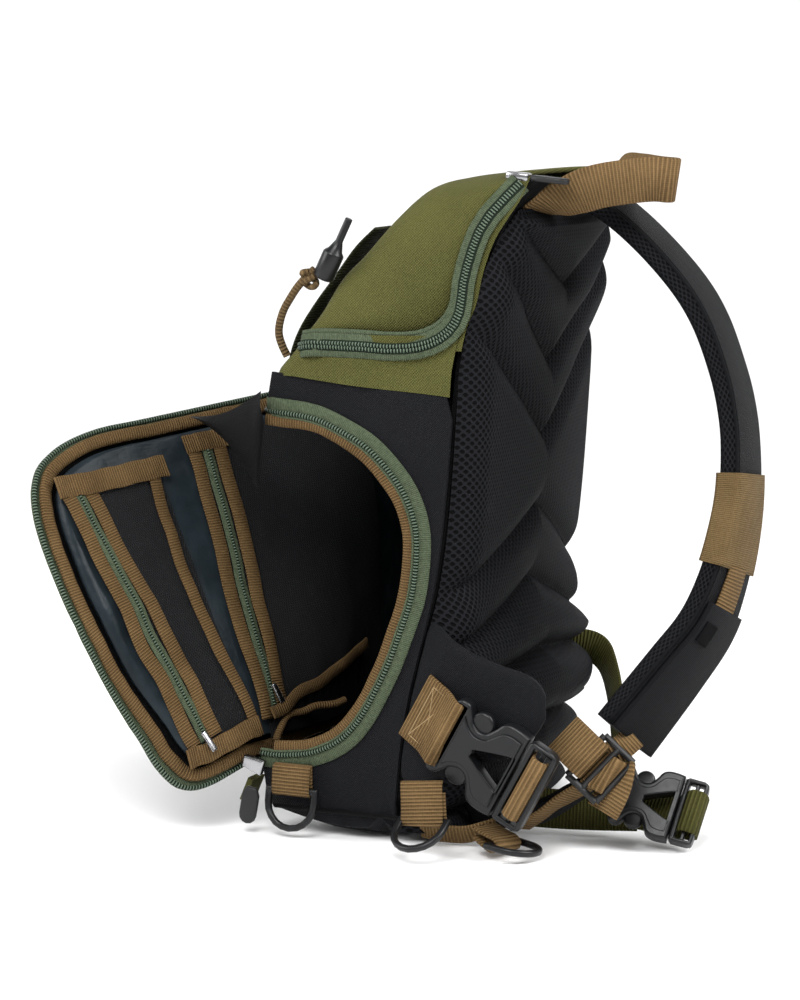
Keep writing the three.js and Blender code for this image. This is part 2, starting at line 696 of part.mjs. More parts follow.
// Quilted back pad: the puffed face carries V channels above and arrow channels below.
// Columns: height at the middle and at the edge, as shares of the bag's height, and rows up to the line above.
const CHANNELS = [
  [0.035, 0.035, 3],
  [0.148, 0.123, 3],
  [0.257, 0.222, 4],
  [0.368, 0.277, 4],
  [0.479, 0.363, 6],
  [0.583, 0.756, 4],
  [0.696, 0.862, 4],
  [0.812, 0.912, 3],
  [0.922, 0.922, 0],
];
// Columns: height and half width of the pad.
const PAD_SIDES = [
  [0.0, 0.93],
  [0.2, 0.93],
  [0.28, 0.9],
  [0.35, 0.83],
  [0.42, 0.82],
  [0.76, 0.81],
  [0.83, 0.77],
  [0.88, 0.7],
  [0.93, 0.62],
];
const padRows = CHANNELS.slice(0, -1).flatMap(([mid, side, rows], k) => {
  const [midUp, sideUp] = CHANNELS[k + 1];
  return Array.from({ length: rows }, (_, i) => {
    const t = i / rows;
    return (s) => ({ z: mix(mix(mid, side, s), mix(midUp, sideUp, s), t) * BAG_HEIGHT, puff: Math.sin(Math.PI * t) });
  });
});
padRows.push(() => ({ z: CHANNELS[CHANNELS.length - 1][0] * BAG_HEIGHT, puff: 0 }));
const padGrid = (face) =>
  padRows.map((row, j) =>
    range(15).map((u) => {
      const s = Math.sin((mix(-1, 1, u) * Math.PI) / 2 * 0.86) / Math.sin((Math.PI / 2) * 0.86);
      const { z, puff } = row(Math.abs(s));
      const edge = Math.min(1, (1 - Math.abs(s)) / 0.2, j / 1.5, (padRows.length - 1 - j) / 1.5);
      const crown = 0.18 + 0.82 * Math.sqrt(Math.max(0, 1 - (1 - edge) ** 2));
      const depth = PAD_THICK * crown * (0.62 + 0.38 * Math.sqrt(puff));
      const half = Math.min(read(PAD_SIDES, 1, z / BAG_HEIGHT) * HALF_WIDTH, sideHalf(backX(z), z) - PAD_INSET);
      return V(backX(z) + backBulge(s) + 4.5 * GAP + (face ? depth : 0), s * half, z);
    }),
  );
const padBack = padGrid(false);
piece('back_pad', loft(padGrid(true).map((row, j) => [...row, ...padBack[j].reverse()])), AIR_MESH);

// Hip wing: padded cloth sewn into the back seam, columns are reach, top and bottom.
const WING_ROWS = [
  [0.0, 0.33, 0.09],
  [0.12, 0.326, 0.088],
  [0.25, 0.311, 0.098],
  [0.44, 0.291, 0.112],
  [0.67, 0.2765, 0.135],
  [0.84, 0.269, 0.155],
  [0.93, 0.259, 0.18],
  [1.0, 0.24, 0.205],
];
const WING_FACE = HALF_WIDTH + 2;
function wing(sign) {
  const sections = WING_ROWS.map(([reach, top, bottom]) =>
    range(6).map((v) => {
      const z = mix(bottom, top, v) * BAG_HEIGHT;
      const x = mix(backX(z) + 1.2, WING_TIP, reach);
      const y = mix(sideHalf(backX(z), z) + 0.6, WING_FACE, ease(reach / 0.25));
      return V(x, sign * y, z);
    }),
  );
  const thick = (v, u) => WING_THICK * Math.min(1, 0.35 + u * 1.6, 0.5 + (1 - u) * 3);
  return sheet(sections, thick, V(0, 0, 0.2 * BAG_HEIGHT));
}
piece('wing_near', wing(-1), BLACK_CLOTH);

// Carry loop: webbing on edge, out from the top hem and back.
const handleX = 0.806 * BAG_DEPTH;
const handlePath = [
  [0.0, -0.54, 0.2],
  [0.26, -0.54, 0.34],
  [0.54, -0.53, 0.48],
  [0.82, -0.51, 0.52],
  [0.97, -0.47, 0.5],
  [0.96, -0.36, 0.5],
  [0.72, -0.12, 0.5],
  [0.44, 0.16, 0.52],
  [0.2, 0.37, 0.5],
  [0.0, 0.54, 0.26],
].map(([reach, aside, rise]) =>
  V(handleX + reach * HANDLE_REACH, aside * HANDLE_SPREAD, 0.941 * BAG_HEIGHT + rise * HANDLE_WIDTH),
);
const handleAcross = [V(0.45, 0, 0.9), V(0.2, 0, 1), V(0.15, 0, 1), V(0.15, 0, 1), V(0.2, 0, 1), V(0.45, 0, 0.9)];
piece('handle', band(stationsAlong(handlePath, handleAcross, 25), HANDLE_WIDTH, WEB_THICK), COYOTE);

// Shoulder strap: columns are reach, place aside, height, and the lean of its width along X and Z.
const STRAP_ROWS = [
  [0.13, -0.027, 0.942, -0.1, 0.0],
  [0.29, -0.027, 0.921, -0.1, 0.0],
  [0.49, -0.027, 0.874, -0.12, 0.0],
  [0.68, -0.027, 0.816, -0.12, 0.0],
  [0.8, -0.027, 0.762, -0.12, 0.0],
  [0.89, -0.027, 0.696, -0.12, 0.0],
  [0.945, -0.045, 0.645, -0.1, -0.02],
  [0.98, -0.07, 0.59, -0.08, -0.04],
  [0.995, -0.107, 0.519, -0.04, -0.08],
  [0.98, -0.152, 0.453, 0.02, -0.14],
  [0.94, -0.214, 0.384, 0.08, -0.22],
  [0.875, -0.295, 0.322, 0.14, -0.34],
  [0.75, -0.402, 0.26, 0.2, -0.46],
  [0.545, -0.58, 0.166, 0.27, -0.55],
];
const strapFoot = backX(BAG_HEIGHT * 0.948);
const strapPath = STRAP_ROWS.map(([out, aside, up]) =>
  V(strapFoot + out * STRAP_REACH, aside * HALF_WIDTH, up * BAG_HEIGHT),
);
const strapAcross = STRAP_ROWS.map(([, , , alongX, alongZ]) => V(alongX, 1, alongZ));
const strapLine = (count) => stationsAlong(strapPath, strapAcross, count);
// A padded strap's cross-section: eight points, thinner towards both edges.
const padRing = ({ at, across, out }, width, thick) =>
  [[-0.5, 0.22], [-0.36, 0.5], [0.36, 0.5], [0.5, 0.22], [0.5, -0.22], [0.36, -0.5], [-0.36, -0.5], [-0.5, -0.22]].map(
    ([a, b]) => at.clone().addScaledVector(across, a * width).addScaledVector(out, b * thick),
  );
const strapStations = strapLine(33);
piece('shoulder_strap', loft(strapStations.map((s) => padRing(s, STRAP_WIDTH, STRAP_THICK))), AIR_MESH);

// Elastic loop band round the strap.
function ringBand(stations, width, thick, wall) {
  const outer = stations.map((s) => padRing(s, width + 2 * wall, thick + 2 * wall));
  const inner = stations.map((s) => padRing(s, width, thick));
  return loft([...outer, ...inner.reverse()], true);
}
piece(
  'strap_loop',
  ringBand(strapLine(61).slice(35, 45), STRAP_WIDTH + 1.6, STRAP_THICK + 1.6, WEB_THICK),
  COYOTE,
);

// Webbing and flat sleeve on the outer face of the strap's lower end.
const onStrap = (from, to, lift) =>
  strapLine(91)
    .slice(from, to)
    .map((s) => ({ ...s, at: s.at.clone().addScaledVector(s.out, lift) }));
const strapOut = STRAP_THICK / 2 + 0.6;
piece('strap_webbing', band(onStrap(69, 74, strapOut), FAR_WEB, WEB_THICK), COYOTE);
piece('strap_sleeve', band(onStrap(75, 91, strapOut), STRAP_WIDTH * 0.8, 3.5), BLACK_CLOTH);

// A group whose local X, Y and Z run along, across and out of what it carries.
function frameAt(origin, along, out) {
  const x = along.clone().normalize();
  const z = out.clone().addScaledVector(x, -out.dot(x)).normalize();
  const y = new THREE.Vector3().crossVectors(z, x);
  const group = new THREE.Group();
  group.applyMatrix4(new THREE.Matrix4().makeBasis(x, y, z).setPosition(origin));
  bag.add(group);
  group.updateMatrixWorld(true);
  return group;
}

function extruded(outline, holes, thick, bevel) {
  const shape = new THREE.Shape(outline.map(([x, y]) => new THREE.Vector2(x, y)));
  for (const hole of holes) shape.holes.push(new THREE.Path(hole.map(([x, y]) => new THREE.Vector2(x, y))));
  const geometry = new THREE.ExtrudeGeometry(shape, {
    depth: thick - 2 * bevel,
    bevelEnabled: bevel > 0,
    bevelThickness: bevel,
    bevelSize: bevel,
    bevelOffset: -bevel,
    bevelSegments: 1,
    curveSegments: 8,
  });
  geometry.translate(0, 0, bevel - thick / 2);
  return geometry;
}
const arc = (cx, cy, rx, ry, from, to, count) =>
  range(count).map((t) => {
    const a = mix(from, to, t);
    return [cx + rx * Math.cos(a), cy + ry * Math.sin(a)];
  });

// D-ring in its own frame: the straight bar lies across at the origin, the bow reaches along X.
const RING_HALF = TAB_WIDTH / 2 + 1 + RING_BAR;
function ringShape() {
  const half = RING_BAR / 2;
  const bow = (grow) => {
    const across = RING_HALF - half + grow;
    const straight = RING_REACH * 0.3;
    return [
      [-grow, -across],
      [straight, -across],
      ...arc(straight, 0, RING_REACH - half + grow - straight, across, -Math.PI / 2, Math.PI / 2, 11).slice(1, -1),
      [straight, across],
      [-grow, across],
    ];
  };
  return extruded(bow(half), [bow(-half)], RING_BAR, 0.9);
}
// Webbing tab in the same frame: sewn at minus its length, looped round the bar.
function tabShape(length, drop) {
  const loop = RING_BAR / 2 + RING_CLEAR + WEB_THICK;
  const line = [
    [-length, 0.2 - drop],
    [-length * 0.5, 0.8 - drop * 0.5],
    [-loop * 0.7, loop - WEB_THICK],
    ...arc(0, 0, loop - WEB_THICK, loop - WEB_THICK, Math.PI / 2, -Math.PI / 2, 7),
    [-loop * 0.7, -(loop - WEB_THICK)],
    [-length * 0.5, -0.8 - drop * 0.5],
    [-length, -0.2 - drop],
  ];
  const rings = line.map(([x, z], i) => {
    const a = line[Math.max(i - 1, 0)];
    const b = line[Math.min(i + 1, line.length - 1)];
    const n = new THREE.Vector2(b[1] - a[1], -(b[0] - a[0])).normalize().multiplyScalar(-WEB_THICK);
    const y = TAB_WIDTH / 2;
    return [V(x, -y, z), V(x, y, z), V(x + n.x, y, z + n.y), V(x + n.x, -y, z + n.y)];
  });
  return loft(rings);
}
// Columns of the three rings: bar's place, hang of the tab, hang of the ring, facing, tab length.
const sideOut = V(0, -1, 0);
const RINGS = [
  {
    bar: V(frontX(30) + 22, -HALF_WIDTH - 5.4, 25.6),
    along: V(0, -0.12, -1),
    ringAlong: V(0, -0.2, -1),
    out: sideOut,
    tab: TAB_LENGTH,
  },
  { bar: V(54, -HALF_WIDTH - 22, 20), along: V(-0.05, -0.82, -0.52), out: V(-0.1, -0.5, 0.8), tab: 19 },
  { bar: V(94, -HALF_WIDTH + 3, 5.2), along: V(0.95, -0.25, -0.1), out: V(0, 0.1, 1), tab: 34 },
];
const ringFrames = RINGS.map(({ bar, along, ringAlong, out, tab }, i) => {
  const tabFrame = frameAt(bar, along, out);
  const ringFrame = ringAlong ? frameAt(bar, ringAlong, out) : tabFrame;
  piece(`d_tab_${i + 1}`, tabShape(tab, i ? 0 : 2), COYOTE, tabFrame);
  piece(`d_ring_${i + 1}`, ringShape(), PLASTIC, ringFrame);
  return ringFrame;
});

// Side-release buckle: a socket with a window in the shape of a wedge, and the tongue's slotted frame.
const grown = (k) => ({ length: BUCKLE_LENGTH * k, width: BUCKLE_WIDTH * k, thick: BUCKLE_THICK * k });
function socketShape(k) {
  const { length: l, width: w, thick } = grown(k);
  const outline = [
    [0, -w * 0.46],
    [l * 0.22, -w * 0.5],
    [l * 0.4, -w * 0.4],
    [l * 0.62, -w * 0.36],
    [l * 0.8, -w * 0.47],
    [l, -w * 0.49],
    [l, w * 0.49],
    [l * 0.8, w * 0.47],
    [l * 0.62, w * 0.36],
    [l * 0.4, w * 0.4],
    [l * 0.22, w * 0.5],
    [0, w * 0.46],
  ];
  const wedge = [[l * 0.52, 0], [l * 0.86, w * 0.26], [l * 0.86, -w * 0.26]];
  const slot = [[l * 0.07, -w * 0.38], [l * 0.07, w * 0.38], [l * 0.17, w * 0.38], [l * 0.17, -w * 0.38]];
  return extruded(outline, [wedge, slot], thick, 1.5 * k);
}
function tongueShape(k, length) {
  const { length: l, width: w, thick } = grown(k);
  const from = l + GAP;
  const to = from + length;
  const outline = [[from, -w * 0.46], [to, -w * 0.49], [to, w * 0.49], [from, w * 0.46]];
  const slot = [
    [to - 10 * k, -w * 0.42],
    [to - 10 * k, w * 0.42],
    [to - 4.4 * k, w * 0.42],
    [to - 4.4 * k, -w * 0.42],
  ];
  return extruded(outline, [slot], thick * 0.62, 1.2 * k);
}

// Near buckle, fastened, with the webbing that ties it to the wing.
const nearBuckle = frameAt(V(61, -HALF_WIDTH - 9.4, 73), V(0.876, 0, -0.482), V(0, -1, 0));
piece('buckle_near_female', socketShape(1), PLASTIC, nearBuckle);
piece('buckle_near_male', tongueShape(1, MALE_LENGTH), PLASTIC, nearBuckle);
piece(
  'buckle_webbing',
  band(
    stationsAlong([V(-30, 0, -6.9), V(-13, 0, -6.6), V(-4.5, 0, -4.2), V(-0.9, 0, -1.6)], [V(0, 1, 0), V(0, 1, 0)], 7),
    BUCKLE_WEB,
    WEB_THICK,
  ),
  COYOTE,
  nearBuckle,
);

// Webbing from the near tongue up to the ladder adjuster.
const nearBar = nearBuckle.localToWorld(V(BUCKLE_LENGTH + MALE_LENGTH + 3, 0, 0));
const adjusterAt = V(151, 18 - HALF_WIDTH, 60);
const nearAcross = V(0, 1, 0).transformDirection(nearBuckle.matrixWorld);
piece(
  'male_webbing',
  band(
    stationsAlong(
      [
        nearBar.clone(),
        nearBar.clone().lerp(adjusterAt, 0.3).add(V(0, 2, -4)),
        nearBar.clone().lerp(adjusterAt, 0.6).add(V(0, 4, -4)),
        adjusterAt.clone().add(V(-10, 2, -5)),
      ],
      [nearAcross, nearAcross, V(0.5, 0.2, 0.85)],
      11,
    ),
    (at) => mix(BUCKLE_WEB, LINK_WEB, clamp01((at.x - nearBar.x) / (adjusterAt.x - nearBar.x))),
    WEB_THICK,
  ),
  COYOTE,
);
const ladder = frameAt(adjusterAt, V(0.62, 0.35, 0.62), V(0.35, -0.9, 0.2));
const ladderHalf = LINK_WEB / 2 + 5;
piece(
  'adjuster',
  extruded(
    [[-3, -ladderHalf], [19, -ladderHalf], [19, ladderHalf], [-3, ladderHalf]],
    [
      [[0, -ladderHalf + 3], [0, ladderHalf - 3], [6, ladderHalf - 3], [6, -ladderHalf + 3]],
      [[10, -ladderHalf + 3.6], [10, ladderHalf - 3.6], [16, ladderHalf - 3.3], [16, -ladderHalf + 3.3]],
    ],
    4,
    0.8,
  ),
  PLASTIC,
  ladder,
);
piece(
  'adjuster_webbing',
  band(
    stationsAlong(
      [V(8, 0, 3), V(13, 0, 3.4), V(17, 0, 3.6), V(23, 0, 2.2), V(28, 0, 0)],
      [V(0, 1, 0), V(0, 1, 0)],
      8,
    ),
    LINK_WEB,
    WEB_THICK,
  ),
  COYOTE,
  ladder,
);

// Far buckle, fastened and lying on the ground behind the bag, with its olive belt.
const farBuckle = frameAt(V(143, -52, 25), V(0.96, 0.14, -0.2), V(0.1, -0.8, 0.6));
piece('buckle_far_female', socketShape(SMALL_BUCKLE), PLASTIC, farBuckle);
piece('buckle_far_male', tongueShape(SMALL_BUCKLE, MALE_LENGTH), PLASTIC, farBuckle);
const farEnd = farBuckle.localToWorld(V(-1, 0, 0));
piece(
  'link_webbing',
  band(
    stationsAlong(
      [farEnd.clone(), farEnd.clone().add(V(-6, -6, 6)), adjusterAt.clone().add(V(-2, 12, -20))],
      [V(0.1, 0.6, 0.8), V(0.6, 0.1, 0.8), V(0.7, 0, 0.7)],
      9,
    ),
    LINK_WEB,
    WEB_THICK,
  ),
  COYOTE,
);
const farTail = farBuckle.localToWorld(V(SMALL_BUCKLE * BUCKLE_LENGTH + MALE_LENGTH + 1, 0, 0));
piece(
  'far_webbing',
  band(
    stationsAlong(
      [
        farTail.clone().add(V(0, 0, 0.5)),
        farTail.clone().add(V(4, 8, 0)),
        farTail.clone().add(V(-4, 15, -1)),
        V(168, -28, 15),
        V(140, -50, 11),
        V(120, -66, 9.8),
        V(100, -48, 9.8),
        V(90, -20, 9.8),
        V(85, 10, 9.8),
      ],
      [V(0.1, 0.2, 1), V(0.1, 0.2, 1), V(-0.1, 0.3, 0.9), V(-0.4, 0.6, 0.7), V(0.2, 0.2, 0.8), V(0.6, 0, 0.7)],
      27,
    ),
    FAR_WEB,
    WEB_THICK,
  ),
  OLIVE_WEB,
);
piece(
  'belt_webbing',
  band(
    stationsAlong(
      [V(50, 111, 80), V(66, 104, 79), V(82, 95, 71), V(82, 86, 56), V(74, 78, 40), V(70, 66, 22), V(76, 44, 10.6), V(84, 26, 10)],
      [V(0.2, 0, 1), V(0.3, 0, 0.9), V(0.4, 0.3, 0.8), V(0.6, 0, 0.7)],
      19,
    ),
    FAR_WEB,
    WEB_THICK,
  ),
  OLIVE_WEB,
);

// Zip sliders with their rubber pulls.
const pullOutline = [
  [0, -PULL_WIDTH * 0.3],
  [PULL_LENGTH * 0.2, -PULL_WIDTH * 0.5],
  ...arc(PULL_LENGTH - PULL_WIDTH / 2, 0, PULL_WIDTH / 2, PULL_WIDTH / 2, -Math.PI / 2, Math.PI / 2, 7),
  [PULL_LENGTH * 0.2, PULL_WIDTH * 0.5],
  [0, PULL_WIDTH * 0.3],
];
const sliderOutline = [
  [-SLIDER_LENGTH / 2, -SLIDER_WIDTH * 0.35],
  [SLIDER_LENGTH / 2, -SLIDER_WIDTH / 2],
  [SLIDER_LENGTH / 2, SLIDER_WIDTH / 2],
  [-SLIDER_LENGTH / 2, SLIDER_WIDTH * 0.35],
];
const slider = () => extruded(sliderOutline, [], SLIDER_THICK, 0.8);
const pull = () => extruded(pullOutline, [], PULL_THICK, 0.8);

const mainSliderAt = V(DOOR_FRONT - 2, -HALF_WIDTH - 6.5, OPENING_BOTTOM + 2);
piece('main_slider', slider(), STEEL, frameAt(mainSliderAt, V(0.9, 0, -0.3), V(-0.2, -1, 0)));
const mainPullFrame = frameAt(mainSliderAt.clone().add(V(-1, -SLIDER_THICK - 0.2, -6)), V(-0.18, 0, -1), V(0, -1, 0));
piece('main_pull', pull(), RUBBER, mainPullFrame);

const topSliderAt = V(0.7 * BAG_DEPTH, -0.6 * HALF_WIDTH, BAG_HEIGHT - 3);
piece('top_slider', slider(), STEEL, frameAt(topSliderAt, V(1, 0.1, -0.1), V(0, 0, 1)));
const topPullFrame = frameAt(topSliderAt.clone().add(V(8, 0, 0.5)), V(1, 0.12, -0.1), V(0, 0, 1));
piece('top_pull', pull(), RUBBER, topPullFrame);

const POCKET_PULLS = [
  { name: 'door_pull_1', w: 253, h: 34 },
  { name: 'door_pull_2', w: 199, h: 48 },
];
for (const { name, w, h } of POCKET_PULLS) {
  const at = doorPoint(w * DOOR_WIDTH / 224, h * OPENING_HEIGHT / 226, POCKET_OFF + 8);
  const down = doorPoint(w * DOOR_WIDTH / 224 - 6, h * OPENING_HEIGHT / 226 - 20, POCKET_OFF + 8).sub(at);
  const out = doorPoint(w * DOOR_WIDTH / 224, h * OPENING_HEIGHT / 226, POCKET_OFF + 10).sub(at);
  piece(name, extruded([[0, -2.5], [22, -3.5], [22, 3.5], [0, 2.5]], [], 3, 0.6), RUBBER, frameAt(at, down, out));
}

// Webbing strip up the slope of the lid, and the small tab at the foot of the zip.
const stripColumn = Math.round((LID_ACROSS - 1) * 0.16);
const stripPoints = lidGrid.slice(0, 7).map((row) => row[stripColumn]);
const lidNormals = gridNormals(lidGrid);
const stripStations = stripPoints.map((p, i) => {
  const out = lidNormals[i][stripColumn].clone();
  if (out.z < 0) out.negate();
  const along = stripPoints[Math.min(i + 1, 6)].clone().sub(stripPoints[Math.max(i - 1, 0)]);
  const across = new THREE.Vector3().crossVectors(along, out).normalize();
  return { at: p.clone().addScaledVector(out, i ? 2.4 : 3.4), across, out };
});
piece('front_webbing', band(stripStations, 16, WEB_THICK), OLIVE_WEB);
piece(
  'front_tab',
  band(
    [0, 1, 2].map((i) => ({
      at: V(DOOR_FRONT - 4 - i * 3, -HALF_WIDTH + 8, OPENING_BOTTOM - 10 - i * 7),
      across: V(0, 1, 0),
      out: V(-0.9, 0, 0.4),
    })),
    16,
    WEB_THICK * 2,
  ),
  OLIVE_WEB,
);

// Free elastic: its route is chosen by hand, and it ends in the toggle.
const CORD_ROUTE = [
  [-54.5, -95, 287],
  [-57, -96.5, 293],
  [-58.5, -98, 300],
  [-57.5, -99, 307],
  [-54.5, -99.5, 315],
  [-50, -100, 322],
  [-45, -100, 329],
  [-39.5, -99.5, 335],
  [-34, -99, 340],
];
const cordCurve = new THREE.CatmullRomCurve3(CORD_ROUTE.map((p) => V(...p)));
const cordSection = new THREE.Shape(
  arc(0, 0, CORD_WIDTH / 2, CORD_WIDTH / 2, 0, (Math.PI * 2 * 7) / 8, 8).map(([x, y]) => new THREE.Vector2(x, y)),
);
piece('bungee_cord', new THREE.ExtrudeGeometry(cordSection, { steps: 14, extrudePath: cordCurve }), COYOTE);
const toggleProfile = [
  [0, 0],
  [TOGGLE_RADIUS * 0.8, 0],
  [TOGGLE_RADIUS, 2],
  [TOGGLE_RADIUS, TOGGLE_LENGTH - 2],
  [TOGGLE_RADIUS * 0.7, TOGGLE_LENGTH],
  [TOGGLE_RADIUS * 0.35, TOGGLE_LENGTH + 6],
  [TOGGLE_RADIUS * 0.35, TOGGLE_LENGTH * 2.1],
  [0, TOGGLE_LENGTH * 2.1],
].map(([x, y]) => new THREE.Vector2(x, y));
const cordEnd = cordCurve.getPoint(1);
const cordWay = cordCurve.getTangent(1);
const toggleFrame = frameAt(cordEnd.clone().add(V(1.2, 0, 2.4)), V(0.42, 0.05, 0.9), V(0, -1, 0));
const toggle = new THREE.LatheGeometry(toggleProfile, 12);
toggle.rotateZ(-Math.PI / 2);
piece('toggle', toggle, PLASTIC, toggleFrame);

// Stands the whole bag on the ground, centred on the origin.
bag.updateMatrixWorld(true);
const box = new THREE.Box3().setFromObject(bag, true);
const centre = box.getCenter(V(0, 0, 0));
const placed = new THREE.Group();
bag.position.set(-centre.x, -centre.y, -box.min.z);
placed.add(bag);

export default placed;
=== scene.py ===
import math

import bmesh
import bpy
from mathutils import Matrix, Vector, noise


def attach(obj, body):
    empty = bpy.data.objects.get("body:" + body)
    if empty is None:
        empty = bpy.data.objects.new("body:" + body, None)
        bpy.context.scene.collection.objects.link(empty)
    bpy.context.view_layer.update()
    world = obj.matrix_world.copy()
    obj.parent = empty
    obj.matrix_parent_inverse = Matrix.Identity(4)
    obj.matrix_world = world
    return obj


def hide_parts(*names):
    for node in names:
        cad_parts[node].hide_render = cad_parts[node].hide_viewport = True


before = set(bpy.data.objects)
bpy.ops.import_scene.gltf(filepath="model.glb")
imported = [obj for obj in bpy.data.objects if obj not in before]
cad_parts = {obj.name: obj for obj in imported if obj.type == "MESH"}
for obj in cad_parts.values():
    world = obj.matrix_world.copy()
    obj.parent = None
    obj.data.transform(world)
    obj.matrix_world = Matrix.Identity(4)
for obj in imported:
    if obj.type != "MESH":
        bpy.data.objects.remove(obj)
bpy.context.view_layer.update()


class Value:
    def __init__(self, tree, socket):
        self.tree = tree
        self.socket = socket

    def math(self, operation, *others):
        node = self.tree.nodes.new("ShaderNodeMath")
        node.operation = operation
        for place, item in enumerate((self, *others)):
            if isinstance(item, Value):
                self.tree.links.new(item.socket, node.inputs[place])
            else:
                node.inputs[place].default_value = item
        return Value(self.tree, node.outputs[0])

    def __add__(self, other):
        return self.math("ADD", other)

    def __radd__(self, other):
        return self.math("ADD", other)

    def __sub__(self, other):
        return self.math("SUBTRACT", other)

    def __rsub__(self, other):
        return self.math("MULTIPLY", -1.0).math("ADD", other)

    def __mul__(self, other):
        return self.math("MULTIPLY", other)

    def __rmul__(self, other):
        return self.math("MULTIPLY", other)

    def __truediv__(self, other):
        return self.math("DIVIDE", other)

    def sine(self):
        return self.math("SINE")

    def size(self):
        return self.math("ABSOLUTE")

    def most(self, other):
        return self.math("MAXIMUM", other)

    def least(self, other):
        return self.math("MINIMUM", other)

    def above(self, limit):
        return self.math("GREATER_THAN", limit)

    def ramp(self, low, high):
        return ((self - low) / (high - low)).most(0.0).least(1.0)


class Paint:
    def __init__(self, name):
        self.material = bpy.data.materials.new(name)
        self.material.use_nodes = True
        self.tree = self.material.node_tree
        self.shader = self.tree.nodes["Principled BSDF"]

    def node(self, kind, inputs=(), **settings):
        made = self.tree.nodes.new(kind)
        for key, value in settings.items():
            setattr(made, key, value)
        for key, value in dict(inputs).items():
            if isinstance(value, Value):
                self.tree.links.new(value.socket, made.inputs[key])
            else:
                made.inputs[key].default_value = value
        return made

    def place(self, kind):
        coordinate = self.node("ShaderNodeTexCoord")
        split = self.node("ShaderNodeSeparateXYZ")
        self.tree.links.new(coordinate.outputs[kind], split.inputs[0])
        return [Value(self.tree, split.outputs[i]) for i in range(3)]

    def noise(self, scale, detail=3.0):
        coordinate = self.node("ShaderNodeTexCoord")
        made = self.node("ShaderNodeTexNoise", {"Scale": scale, "Detail": detail})
        self.tree.links.new(coordinate.outputs["Object"], made.inputs["Vector"])
        return Value(self.tree, made.outputs[0])

    def colour(self, low, high, share):
        made = self.node("ShaderNodeMix", data_type="RGBA")
        made.inputs[6].default_value = (*low, 1.0)
        made.inputs[7].default_value = (*high, 1.0)
        self.tree.links.new(share.socket, made.inputs[0])
        return Value(self.tree, made.outputs[2])

    def finish(self, colour, rough, height=None, depth=0.0003, shine=0.07, **more):
        wanted = {"Base Color": colour, "Roughness": rough, "Specular IOR Level": shine, **more}
        for key, value in wanted.items():
            if isinstance(value, Value):
                self.tree.links.new(value.socket, self.shader.inputs[key])
            elif isinstance(value, tuple):
                self.shader.inputs[key].default_value = (*value, 1.0)
            else:
                self.shader.inputs[key].default_value = value
        if height is not None:
            bump = self.node("ShaderNodeBump", {"Height": height, "Distance": depth, "Strength": 1.0})
            self.tree.links.new(bump.outputs[0], self.shader.inputs["Normal"])
        return self.material


def woven(name, dark, light, pitch, rough, shine=0.07, folds=0.0):
    paint = Paint(name)
    x, y, z = paint.place("Object")
    turn = 2 * math.pi / pitch
    warp = ((x + y * 0.7) * turn).sine() * ((z + y * 0.55) * turn).sine()
    grain = paint.noise(900.0, 2.0)
    broad = paint.noise(18.0, 3.0)
    share = (warp * 0.3 + grain * 0.45 + broad * 0.5).ramp(0.1, 0.9)
    height = warp + grain * 0.6 + paint.noise(13.0, 2.0) * folds
    return paint.finish(paint.colour(dark, light, share), rough, height, 0.0003, shine)


BLACK_CLOTH = woven("black nylon", (0.0012, 0.0012, 0.0015), (0.0042, 0.0044, 0.0052), 0.0011, 0.6, 0.1)
BODY_CLOTH = woven(
    "body nylon", (0.0022, 0.0023, 0.003), (0.011, 0.0115, 0.014), 0.0014, 0.6, 0.1, folds=26.0
)
WELD = 2e-5
SHARP = math.radians(40)
ROUNDED = math.radians(35)


def dressed(node, material, levels=0, body="bag", bevel=0.0, move=(0, 0, 0), shrink=1.0):
    # A copy of one of the model's pieces, welded, with its edges split, rounded or smoothed away.
    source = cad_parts[node]
    mesh = source.data.copy()
    mesh.materials.clear()
    mesh.materials.append(material)
    work = bmesh.new()
    work.from_mesh(mesh)
    bmesh.ops.remove_doubles(work, verts=work.verts, dist=WELD)
    for face in work.faces:
        face.smooth = True
    if not levels and not bevel:
        shared = [edge for edge in work.edges if len(edge.link_faces) == 2]
        bmesh.ops.split_edges(work, edges=[edge for edge in shared if edge.calc_face_angle(0) > SHARP])
    middle = sum((v.co for v in work.verts), Vector()) / len(work.verts)
    bmesh.ops.translate(work, verts=work.verts, vec=-middle)
    bmesh.ops.scale(work, verts=work.verts, vec=(shrink,) * 3)
    bmesh.ops.translate(work, verts=work.verts, vec=middle)
    bmesh.ops.translate(work, verts=work.verts, vec=Vector(move) * 0.001)
    work.to_mesh(mesh)
    work.free()
    made = bpy.data.objects.new(node + "_dressed", mesh)
    bpy.context.collection.objects.link(made)
    if bevel:
        soft = made.modifiers.new("edges", "BEVEL")
        soft.width = bevel
        soft.segments = 2
        soft.limit_method = "ANGLE"
        soft.angle_limit = ROUNDED
    if levels:
        soft = made.modifiers.new("smooth", "SUBSURF")
        soft.levels = levels
        soft.render_levels = levels
    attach(made, body)
    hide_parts(node)
    return made


for wall in ("side_panel_near", "side_panel_far", "bottom_panel", "compartment_roof"):
    dressed(wall, BODY_CLOTH)
for wall in ("back_panel", "door_side_far"):
    dressed(wall, BLACK_CLOTH)

# Opening zip: sage woven tape sewn round the side opening, with a row of nylon coil along its free edge.
# The coil is a thin round cord, and its paint draws the turns, near black between them as painted shade. The
# far side has the same tape, closed.
SHIFT = Vector((-10.81, 32.46, 2.82))
HEIGHT = 405.0
DEPTH = 120.0
HALF = 112.0


def at(x, y, z):
    return (Vector((x, y, z)) + SHIFT) * 0.001


def ease(t):
    t = min(1.0, max(0.0, t))
    return t * t * (3 - 2 * t)


def mix(a, b, t):
    return a + (b - a) * t


def steps(count):
    return [i / (count - 1) for i in range(count)]


